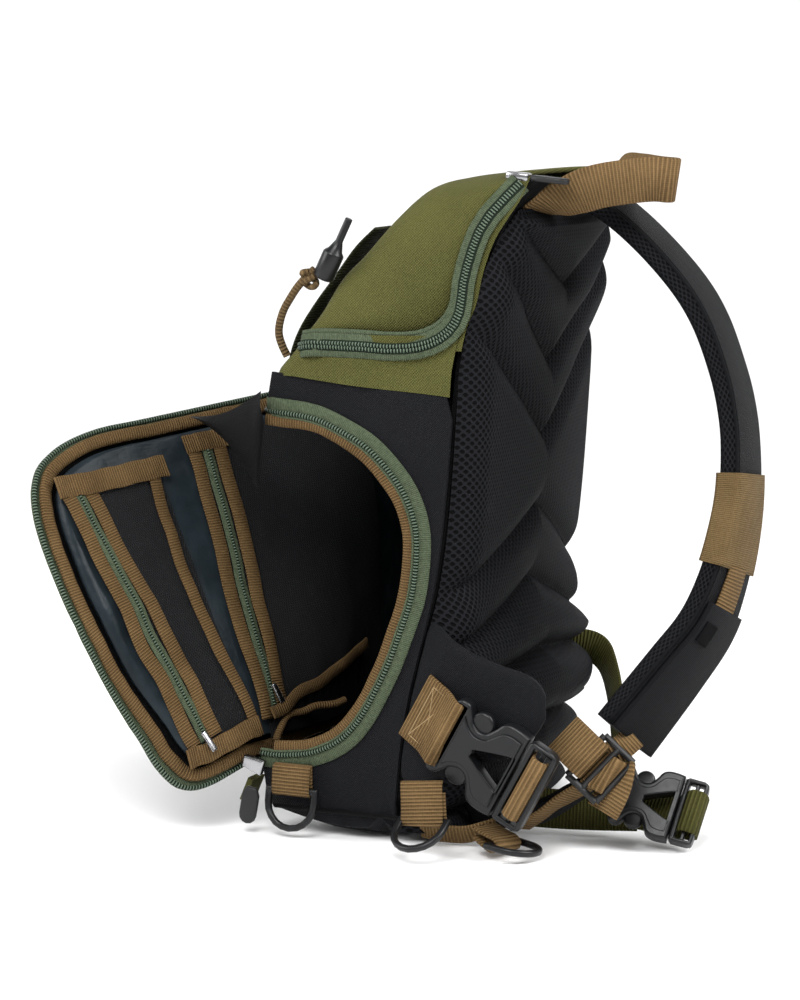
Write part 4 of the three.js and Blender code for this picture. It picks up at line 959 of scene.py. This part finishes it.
# Base piping: a thin round cord of black nylon sewn into the seam between the near side and the base.
# It stiffens the edge that the bag stands on.
PIPING_HEIGHT = 14
piping_places = []
for x in (-56, -40, -20, 0, 20, 40, 56):
    piping_places.append(at(x, -side_half(x, PIPING_HEIGHT) - 0.6, PIPING_HEIGHT))
upright = [Vector((0, 0, 1)), Vector((0, 0, 1))]
sweep("base_piping", stations(piping_places, upright, 50), round_section(1.3), BLACK_CLOTH)

# Hip wing: a lightly padded flap of black nylon sewn to the bag's near side, beside the pad.
# It carries the near buckle's webbing.
wing = dressed("wing_near", BODY_CLOTH, levels=2)

# Shoulder strap: a foam core in spacer mesh with a woven nylon outer face, piped along both edges.
# A coyote elastic band holds a webbing link on it, and a nylon sleeve with a hook patch covers its lower end.
# Reach, side, height, and the across direction's x and z, as the strap comes round from the handle.
STRAP = [
    (0.13, -0.027, 0.942, -0.1, 0.0),
    (0.29, -0.027, 0.921, -0.1, 0.0),
    (0.49, -0.027, 0.874, -0.12, 0.0),
    (0.68, -0.027, 0.816, -0.12, 0.0),
    (0.8, -0.027, 0.762, -0.12, 0.0),
    (0.89, -0.027, 0.696, -0.12, 0.0),
    (0.945, -0.045, 0.645, -0.1, -0.02),
    (0.98, -0.07, 0.59, -0.08, -0.04),
    (0.995, -0.107, 0.519, -0.04, -0.08),
    (0.98, -0.152, 0.453, 0.02, -0.14),
    (0.94, -0.214, 0.384, 0.08, -0.22),
    (0.875, -0.295, 0.322, 0.14, -0.34),
    (0.75, -0.402, 0.26, 0.2, -0.46),
    (0.545, -0.58, 0.166, 0.27, -0.55),
]
strap_foot = back_x(HEIGHT * 0.948)
strap_line = [at(strap_foot + r * 117, a * HALF, u * HEIGHT) for r, a, u, _, _ in STRAP]
strap_wide = [Vector((x, 1, z)) for _, _, _, x, z in STRAP]
strap_core = [
    (-26, -3.6),
    (-24.5, -5.6),
    (-12, -6.3),
    (12, -6.3),
    (24.5, -5.6),
    (26, -3.6),
    (26, 3.6),
    (24.5, 5.2),
    (-24.5, 5.2),
    (-26, 3.6),
    (-26, -3.6),
]
strap = sweep("strap_core", stations(strap_line, strap_wide, 90), strap_core, SPACER)
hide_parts("shoulder_strap")
STRAP_FACE = woven("strap nylon", (0.002, 0.0021, 0.0026), (0.007, 0.0073, 0.009), 0.0011, 0.6, 0.1)
face_run = stations(strap_line, strap_wide, 90, lift=5.3)
sweep("strap_face", face_run, flat_section(49, 0.8), STRAP_FACE)
for side in (-1, 1):
    row = [(p + a * side * 0.0252, a, o) for p, a, o in stations(strap_line, strap_wide, 90, lift=4.6)]
    sweep(f"strap_piping_{side + 2}", row, round_section(1.1), STRAP_FACE)


def band_section(width, thick):
    w, t = width / 2, thick / 2
    return [
        (-w, -t + 2),
        (-w + 2, -t),
        (w - 2, -t),
        (w, -t + 2),
        (w, t - 2),
        (w - 2, t),
        (-w + 2, t),
        (-w, t - 2),
        (-w, -t + 2),
    ]


WEBBING = ribbed("coyote webbing", (0.062, 0.036, 0.014), (0.215, 0.135, 0.06), 0.0021)
ELASTIC = ribbed("woven elastic", (0.08, 0.05, 0.02), (0.18, 0.12, 0.053), 0.0012, 0.7, 0.0003)
loop_run = stations(strap_line, strap_wide, 24, 0.59, 0.745)
loop = sweep("elastic_loop", loop_run, band_section(55.5, 15.5), ELASTIC)
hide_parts("strap_loop")
link_run = stations(strap_line, strap_wide, 20, 0.74, 0.83, 6.6)
link = sweep("strap_link", link_run, flat_section(25, 1.6), WEBBING)
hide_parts("strap_webbing")
sleeve_run = stations(strap_line, strap_wide, 36, 0.81, 1.0, 7.0)
sleeve = sweep("sleeve", sleeve_run, flat_section(46, 3.0), STRAP_FACE)
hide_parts("strap_sleeve")
patch = [(p + a * -0.011, a, o) for p, a, o in stations(strap_line, strap_wide, 10, 0.84, 0.875, 10.1)]
HOOK = woven("hook patch", (0.0015, 0.0015, 0.002), (0.005, 0.005, 0.006), 0.0009, 0.95)
sweep("sleeve_patch", patch, flat_section(15, 0.7), HOOK)


# Carry loop: coyote ribbed webbing, sewn into the top of the back and turned flat to lie in the hand.
# Each other webbing of the bag is made in the same way, as a flat strip along its route.
def webbing(name, node, line, wide, width, material, count=60):
    run = stations([at(*p) for p in line], [Vector(w) for w in wide], count)
    made = sweep(name, run, flat_section(width, 1.8), material)
    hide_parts(node)


HANDLE_ROWS = [
    (0.82, -0.51, 0.52),
    (0.97, -0.47, 0.5),
    (0.96, -0.36, 0.5),
    (0.72, -0.12, 0.5),
    (0.44, 0.16, 0.52),
    (0.2, 0.37, 0.5),
    (0.0, 0.54, 0.26),
]
handle_line = [(84, -50, 375), (96, -51, 379), (108, -52, 383.5), (120, -51, 388), (134, -50, 391.5)]
handle_line += [(0.806 * DEPTH + r * 75, a * 92, 0.941 * HEIGHT + u * 26) for r, a, u in HANDLE_ROWS]
handle_wide = [(0.8, -0.6, 0.35), (0.75, -0.5, 0.5), (0.55, -0.35, 0.75), (0.3, -0.1, 0.95)]
handle_wide += [(0.15, 0, 1)] * 6 + [(0.2, 0, 1), (0.45, 0, 0.9)]
webbing("carry_loop", "handle", handle_line, handle_wide, 26, WEBBING, 110)


# Near buckle's webbings: coyote ribbed webbing folded round the bars of the buckle and the ladder adjuster.
# The end that lies on the wing is sewn down with a box and a cross in pale thread.
def laid(name, frame_at, line, wide, width, material=WEBBING, node=None, count=40):
    # Webbing whose places (along, across, out) in mm are in a frame of an origin and three directions.
    origin, along, across, out = frame_at
    points = [at(*(origin + along * a + across * b + out * c)) for a, b, c in line]
    turned = [(along * a + across * b + out * c).normalized() for a, b, c in wide]
    made = sweep(name, stations(points, turned, count), flat_section(width, 1.8), material)
    if node:
        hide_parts(node)


def axes(origin, along, out):
    # A frame of an origin and three square directions: along the part, across it and out of its face.
    along = Vector(along).normalized()
    out = Vector(out)
    out = (out - along * out.dot(along)).normalized()
    return Vector(origin), along, out.cross(along), out


NEAR = axes((61, -121.4, 73), (0.876, 0, -0.482), (0, -1, 0))
ACROSS = [(0, 1, 0), (0, 1, 0)]
near_line = [(-25, 0, -8), (-17, 0, -5.6), (-8, 0, -2.5), (0.5, 0, 4.2)]
near_line += [(3.2, 0, 4.6), (5.2, 0, 1.5), (4, 0, -5)]
laid("near_web", NEAR, near_line, ACROSS, 43, node="buckle_webbing", count=60)
roll_line = [(54, 0, -6), (56, 0, -1), (58, 0, 5), (61, 0, 6.2), (64, 0, 5), (66, 0, -1), (68, 0, -5)]
laid("tongue_web", NEAR, roll_line, ACROSS, 41, node="male_webbing", count=70)
pass_line = [(98, -92, 12), (110, -90.5, 21), (119.5, -89, 28.5), (129, -87.5, 35), (141, -86, 43)]
pass_wide = [(0.605, -0.491, 0.619), (0.5, -0.6, 0.6)]
webbing("pass_web", "male_webbing", pass_line, pass_wide, 23, WEBBING)
tail_line = [(56, -70, 11), (78, -72, 13), (103, -75, 19), (127, -78, 34), (147, -80, 50)]
tail_run = stations([at(*q) for q in tail_line], [Vector((0.5, -0.5, 0.7)), Vector((0.5, -0.5, 0.7))], 40)
sweep("strap_tail", tail_run, flat_section(20, 2.5), STRAP_FACE)
base_line = [(36, -98, 6), (50, -98, 4.5), (64, -96, 5), (74, -93, 8), (82, -90, 11)]
webbing("base_web", "d_tab_3", base_line, [(0.1, -0.5, 1), (0.3, -0.5, 1)], 13, WEBBING)
THREAD = Paint("pale thread").finish((0.3, 0.21, 0.11), 0.8)
BOX = [(-19, -17), (-19, 17), (-5, 17), (-5, -17), (-19, -17), (-5, 17), (-19, 17), (-5, -17)]
origin, along, across, out = NEAR
thread_places = []
for (a, b), (c, d) in zip(BOX, BOX[1:]):
    for t in steps(9)[:-1]:
        u, v = mix(a, c, t), mix(b, d, t)
        thread_places.append(at(*(origin + along * u + across * v + out * (0.9 + 0.28 * u))))
thread_run = stations(thread_places, [out, out], len(thread_places))
sweep("near_stitch", thread_run, round_section(0.38, 6), THREAD)

# Ladder adjuster: a moulded black ladder of two rails and three bars that the webbing is threaded through.
# Its webbing is folded over the first bar, and short ends fan out below it to the far buckle.
LADDER = axes((141.7, -94, 58.6), (0.693, 0.217, -0.683), (0.4185, -0.8975, 0.1392))
loop_line = [(-20, 0, -4), (-15, 0, 1), (-8, 0, 4.4), (-1, 0, 5.2), (2.5, 0, 3.2), (3, 0, -3)]
laid("ladder_web", LADDER, loop_line, ACROSS, 26, node="adjuster_webbing", count=50)
laid("ladder_link", LADDER, [(6, -1, -4), (10, -1, 0), (14, 0, 3.4), (17, 1, 3), (19, 2, -4)], ACROSS, 23)
fan_line = [(19, 13, -4), (22, 4, -1), (25, -6, -1), (28, -17, -4)]
fan_wide = [(0.3, 0.1, 0.95), (0.8, 0.2, 0.5), (0.95, 0.3, 0.2)]
laid("ladder_fan", LADDER, fan_line, fan_wide, 20, node="link_webbing")
laid("ladder_end", LADDER, [(8, 9, -3), (10.6, 18.5, -4), (12, 28, -9)], [(1, 0.1, 0), (1, 0.1, 0)], 15)
RUBBER = Paint("rubber").finish((0.006, 0.006, 0.0065), 0.5, shine=0.35)
LADDER_BARS = [(-2, -16, -2, 16), (9.5, -16, 9.5, 16), (21, -16, 21, 16)]
LADDER_BARS += [(-2, -16, 21, -16), (-2, 16, 21, 16)]
origin, along, across, out = LADDER
for number, (a, b, c, d) in enumerate(LADDER_BARS):
    spots = [(a, b), (mix(a, c, 0.5), mix(b, d, 0.5)), (c, d)]
    ends = [at(*(origin + along * p + across * q + out * 1.2)) for p, q in spots]
    bar_run = stations(ends, [out, out], 12)
    bar = sweep(f"ladder_bar_{number}", bar_run, round_section(2.0), RUBBER)
    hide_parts("adjuster")

# Far belt: olive ribbed webbing from the far side seam, round the back to the far buckle.
# Its loose end is folded back through the buckle and lies along the floor.
OLIVE_WEB = ribbed("olive webbing", (0.020, 0.020, 0.005), (0.07, 0.067, 0.019), 0.0021)
FAR = axes((143, -52, 28.2), (0.96, 0.14, -0.2), (0.1, -0.8, 0.6))
far_line = [(41, 0, -5), (42.5, 0, 0), (44.5, 0, 4.2), (48, 0, 5), (51, 0, 4)]
far_line += [(52.5, 0, 0), (50, 0, -7), (30, 0, -11), (6, 0, -14)]
laid("far_roll", FAR, far_line, ACROSS, 27, OLIVE_WEB, "far_webbing", count=70)
floor_line = [(150, -34, 14), (128, -40, 13.5), (106, -44, 13), (86, -46, 13), (66, -46, 14)]
webbing("floor_web", "far_webbing", floor_line, [(0, 0.35, 1), (0, 0.1, 1)], 24, OLIVE_WEB)
belt_line = [(47, 106, 86), (62, 111, 84), (74, 106, 78), (86, 90, 66)]
belt_line += [(98, 68, 50), (110, 44, 34), (126, 10, 20), (142, -14, 15)]
belt_wide = [(0.1, 0.1, 1), (0.2, 0.2, 1), (0.5, 0.2, 0.8)]
webbing("belt_web", "belt_webbing", belt_line, belt_wide, 20, OLIVE_WEB)


# Ring tabs: short lengths of coyote webbing, each folded round a D-ring's bar and sewn flat above it.
# The small olive tab on the front is a plain one, sewn down flat.
def ring_tab(number, place, axis, hang, width, rise=16):
    here = Vector(place) - SHIFT
    axis, hang = Vector(axis).normalized(), Vector(hang).normalized()
    out = axis.cross(hang).normalized()
    if out.y > 0:
        out = -out
    back = [here - hang * (11 + width * 0.2) - out * 2.6]
    back += [here - hang * 5 - out * 2.7, here - hang * 1 - out * 3.0]
    fold = [here + hang * 2.6 - out * 1.8, here + hang * 3.2, here + hang * 2.6 + out * 1.8]
    face = [here - hang * 1 + out * 3.0, here - hang * 6 + out * 2.4]
    face += [here - hang * (rise - 4) + out * 1.8, here - hang * rise + out * 0.6]
    points = [at(*p) for p in back + fold + face]
    run = stations(points, [axis, axis], 50)
    made = sweep(f"tab_{number}", run, flat_section(width, 1.7), WEBBING)
    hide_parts(f"d_tab_{number}")


ring_tab(1, (-52.11, -84.94, 28.42), (1, 0, 0), (0, 0, -1), 25)
ring_tab(2, (43.19, -101.54, 22.82), (0.9931, -0.0997, 0.0618), (0.12, -0.15, -1), 28, 24)
ring_tab(3, (83.19, -76.54, 8.02), (0.2438, 0.965, -0.0965), (0.75, -0.2, -0.25), 24, 14)
dressed("front_tab", OLIVE_WEB)

# Side-release buckles: moulded satin plastic, a pinched socket with a raised ridge and a frame that clips in.
# The socket has a wedge-shaped window, and the two round ears are the ends of the prongs.
moulded = Paint("satin plastic")
speck = moulded.noise(260.0, 2.0)
PLASTIC = moulded.finish((0.005, 0.0052, 0.006), speck.ramp(0.0, 1.4) * 0.25 + 0.27, speck, 0.00006, 0.3)
# Half outlines as (along, across) in mm, mirrored about the buckle's middle.
SOCKET = [(0, 22), (3, 24.5), (8, 24), (11.5, 20), (15, 15.5), (20, 13.5), (25, 15)]
SOCKET += [(28.5, 20), (31.5, 25.5), (36, 28), (43, 28.4), (49.6, 27.6)]
RIDGE = [(9, 17), (13, 13), (17, 10.5), (22, 10), (27, 12), (31, 17), (35, 21.5), (41, 23), (47, 22.5)]
WINDOW = [(23, 1.5), (24.5, 3.2), (44, 11.5), (46.5, 10)]


def flat_places(line):
    return [Vector((a, b, 0)) for a, b in line]


def whole(half):
    return half + [Vector((p.x, -p.y, 0)) for p in reversed(half)]


def smooth_whole(line, count):
    places = flat_places(line)
    return whole([spline(places, t) for t in steps(count)])


def moulding(name, frame_at, loops, thick, soft, lift, size, node):
    # A plate with rounded edges: the first loop is its outline and the others are openings.
    origin, along, across, out = frame_at
    curve = bpy.data.curves.new(name, "CURVE")
    curve.dimensions = "2D"
    curve.fill_mode = "BOTH"
    curve.extrude = (thick / 2 - soft) * 0.001
    curve.bevel_depth = soft * 0.001
    curve.bevel_resolution = 2
    curve.offset = -soft * 0.001
    for loop in loops:
        strand = curve.splines.new("POLY")
        strand.points.add(len(loop) - 1)
        for point, place in zip(strand.points, loop):
            point.co = (place.x * 0.001 * size, place.y * 0.001 * size, 0, 1)
        strand.use_cyclic_u = True
    rough = bpy.data.objects.new(name + "_line", curve)
    bpy.context.collection.objects.link(rough)
    mesh = bpy.data.meshes.new_from_object(rough.evaluated_get(bpy.context.evaluated_depsgraph_get()))
    bpy.data.objects.remove(rough)
    turn = Matrix((along, across, out)).transposed().to_4x4()
    mesh.transform(Matrix.Translation(at(*(origin + out * lift * size))) @ turn)
    mesh.materials.clear()
    mesh.materials.append(PLASTIC)
    for face in mesh.polygons:
        face.use_smooth = True
    mesh.set_sharp_from_angle(angle=SHARP)
    made = bpy.data.objects.new(name, mesh)
    bpy.context.collection.objects.link(made)
    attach(made, "bag")
    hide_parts(node)


def disc(a, b, radius):
    turns = [t * 2 * math.pi for t in steps(28)[:-1]]
    return [Vector((a + radius * math.cos(turn), b + radius * math.sin(turn), 0)) for turn in turns]


def buckle(name, frame_at, size):
    window = smooth_whole(WINDOW, 20)
    slot = whole(flat_places([(2.6, 20.5), (6.4, 20.5)]))
    female = f"buckle_{name}_female"
    moulding(name + "_socket", frame_at, [smooth_whole(SOCKET, 60), window, slot], 9.5, 1.6, 0, size, female)
    moulding(name + "_ridge", frame_at, [smooth_whole(RIDGE, 50), window], 2.4, 0.8, 5.0, size, female)
    for side in (-1, 1):
        ear = disc(19.5, side * 17, 7.6)
        moulding(f"{name}_ear_{side + 2}", frame_at, [ear], 6.0, 1.6, -0.4, size, female)
    frame_line = whole(flat_places([(50.6, 25.6), (53, 27.4), (66, 27.2), (69.2, 25.4), (69.8, 22)]))
    opening = whole(flat_places([(54.6, 23.8), (66.2, 23.8)]))
    bar = whole(flat_places([(59.2, 24.5), (62.4, 24.5)]))
    male = f"buckle_{name}_male"
    moulding(name + "_frame", frame_at, [frame_line, opening], 8.5, 1.5, 0, size, male)
    moulding(name + "_bar", frame_at, [bar], 3.2, 0.7, 0.6, size, male)


buckle("near", NEAR, 1.0)
buckle("far", FAR, 0.76)

# D-rings: moulded satin plastic, hung in their webbing tabs, where they swing freely.
# Each rides on a body of its own.
for number in (1, 2, 3):
    dressed(f"d_ring_{number}", PLASTIC, bevel=0.0008, body=f"ring_{number}")

# Zip sliders and pulls: plated metal sliders, moulded rubber pulls on the two large zips, and small metal
# pulls on the pocket zips. Every edge is rounded.
STEEL = Paint("plated steel").finish((0.33, 0.33, 0.34), 0.25, shine=0.5, Metallic=1.0)
ZIP_PARTS = [
    ("main_pull", RUBBER, "rubber", 0.0007, (5, 0, -5), 0.86),
    ("top_pull", RUBBER, "rubber", 0.0007, (-2, 0, -7), 0.86),
    ("door_pull_1", STEEL, "rubber", 0.0004, (0, 0, 0), 0.62),
    ("door_pull_2", STEEL, "rubber", 0.0004, (0, 0, 0), 0.62),
    ("main_slider", STEEL, "steel", 0.0007, (2, 0, 0), 1.0),
    ("top_slider", STEEL, "steel", 0.0007, (0, 0, -6), 1.0),
]
for name, material, slot, bevel, move, shrink in ZIP_PARTS:
    dressed(name, material, bevel=bevel, move=move, shrink=shrink)

# Free elastic and toggle: a round elastic cord in a woven brown sleeve, sewn in at the strip's side.
# It is knotted behind a moulded plastic toggle, and its route is the model's own.
CORD_ROUTE = [
    (-54.5, -95, 287),
    (-57, -96.5, 293),
    (-58.5, -98, 300),
    (-57.5, -99, 307),
    (-54.5, -99.5, 315),
    (-50, -100, 322),
    (-45, -100, 329),
    (-39.5, -99.5, 335),
    (-34, -99, 340),
]
ELASTIC_CORD = ribbed("brown elastic cord", (0.05, 0.032, 0.015), (0.16, 0.105, 0.05), 0.0022)
cord_line = [at(*p) for p in CORD_ROUTE]
cord_points = [spline(cord_line, t) for t in steps(60)]
cord_run = stations(cord_line, SIDEWAYS, 60)
cord = sweep("elastic_cord", cord_run, round_section(2.5), ELASTIC_CORD)
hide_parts("bungee_cord")
toggle = dressed("toggle", PLASTIC, bevel=0.0006, move=(4, 0, -8))
knot_places = []
for k in steps(90):
    turn = k * 2 * math.pi
    sway = Vector((4.2 * math.sin(2 * turn), 3.2 * math.sin(3 * turn), 4.6 * math.cos(turn)))
    knot_places.append(at(*(Vector((-36.5, -99, 334)) + sway)))
knot_wide = [Vector((0, 1, 0.2)), Vector((0, 1, 0.2))]
sweep("elastic_knot", stations(knot_places, knot_wide, 90), round_section(2.0), ELASTIC_CORD)
cord_length = sum((b - a).length for a, b in zip(cord_points, cord_points[1:]))

# Studio: a pale matt floor that curves up into a white backdrop behind the bag.
# Three soft lamps and the photo's own view of the bag complete it.
world = bpy.data.worlds.new("studio")
bpy.context.scene.world = world
world.use_nodes = True
world.node_tree.nodes["Background"].inputs[0].default_value = (1.0, 1.0, 1.0, 1.0)
world.node_tree.nodes["Background"].inputs[1].default_value = 0.28
floor_paint = Paint("studio floor").finish((0.9, 0.9, 0.9), 0.6)
COVE = 1.3
cove_turns = [t * math.pi / 2 for t in steps(24)[1:]]
backdrop_side = [(-3.0, 0.0), (1.7, 0.0)]
backdrop_side += [(1.7 + COVE * math.sin(turn), COVE - COVE * math.cos(turn)) for turn in cove_turns]
backdrop_side += [(3.0, 6.0)]
backdrop_points = [(x, y, z) for y, z in backdrop_side for x in (-5.0, 5.0)]
backdrop_faces = [(2 * i, 2 * i + 1, 2 * i + 3, 2 * i + 2) for i in range(len(backdrop_side) - 1)]
floor_mesh = bpy.data.meshes.new("floor")
floor_mesh.from_pydata(backdrop_points, [], backdrop_faces)
for face in floor_mesh.polygons:
    face.use_smooth = True
floor_mesh.materials.append(floor_paint)
floor = bpy.data.objects.new("floor", floor_mesh)
floor.rotation_euler = (0, 0, math.radians(25))
bpy.context.collection.objects.link(floor)
for name, place, size, power in (
    ("key", (0.3, -2.2, 2.4), 1.6, 104.0),
    ("fill", (-2.0, -1.2, 1.3), 1.5, 50.0),
    ("rim", (2.1, 0.2, 1.9), 1.4, 84.0),
):
    lamp = bpy.data.lights.new(name, "AREA")
    lamp.size = size
    lamp.energy = power
    light = bpy.data.objects.new(name, lamp)
    light.location = place
    light.rotation_euler = (Vector((0, 0, 0.2)) - Vector(place)).to_track_quat("-Z", "Y").to_euler()
    bpy.context.collection.objects.link(light)
look = (Vector((-19.196, -10.379, 190.79)) + SHIFT) * 0.001
azimuth = math.radians(25)
elevation = math.radians(8)
level = math.cos(elevation)
aim = Vector((math.sin(azimuth) * level, -math.cos(azimuth) * level, math.sin(elevation)))
lens = bpy.data.cameras.new("camera")
lens.sensor_fit = "VERTICAL"
lens.sensor_height = 36.0
lens.lens = 115.2
lens.clip_end = 20
camera = bpy.data.objects.new("camera", lens)
camera.location = look + aim * 2.0
camera.rotation_euler = (-aim).to_track_quat("-Z", "Y").to_euler()
bpy.context.collection.objects.link(camera)
scene = bpy.context.scene
scene.camera = camera
scene.render.resolution_x = 800
scene.render.resolution_y = 1000
scene.view_settings.view_transform = "Standard"
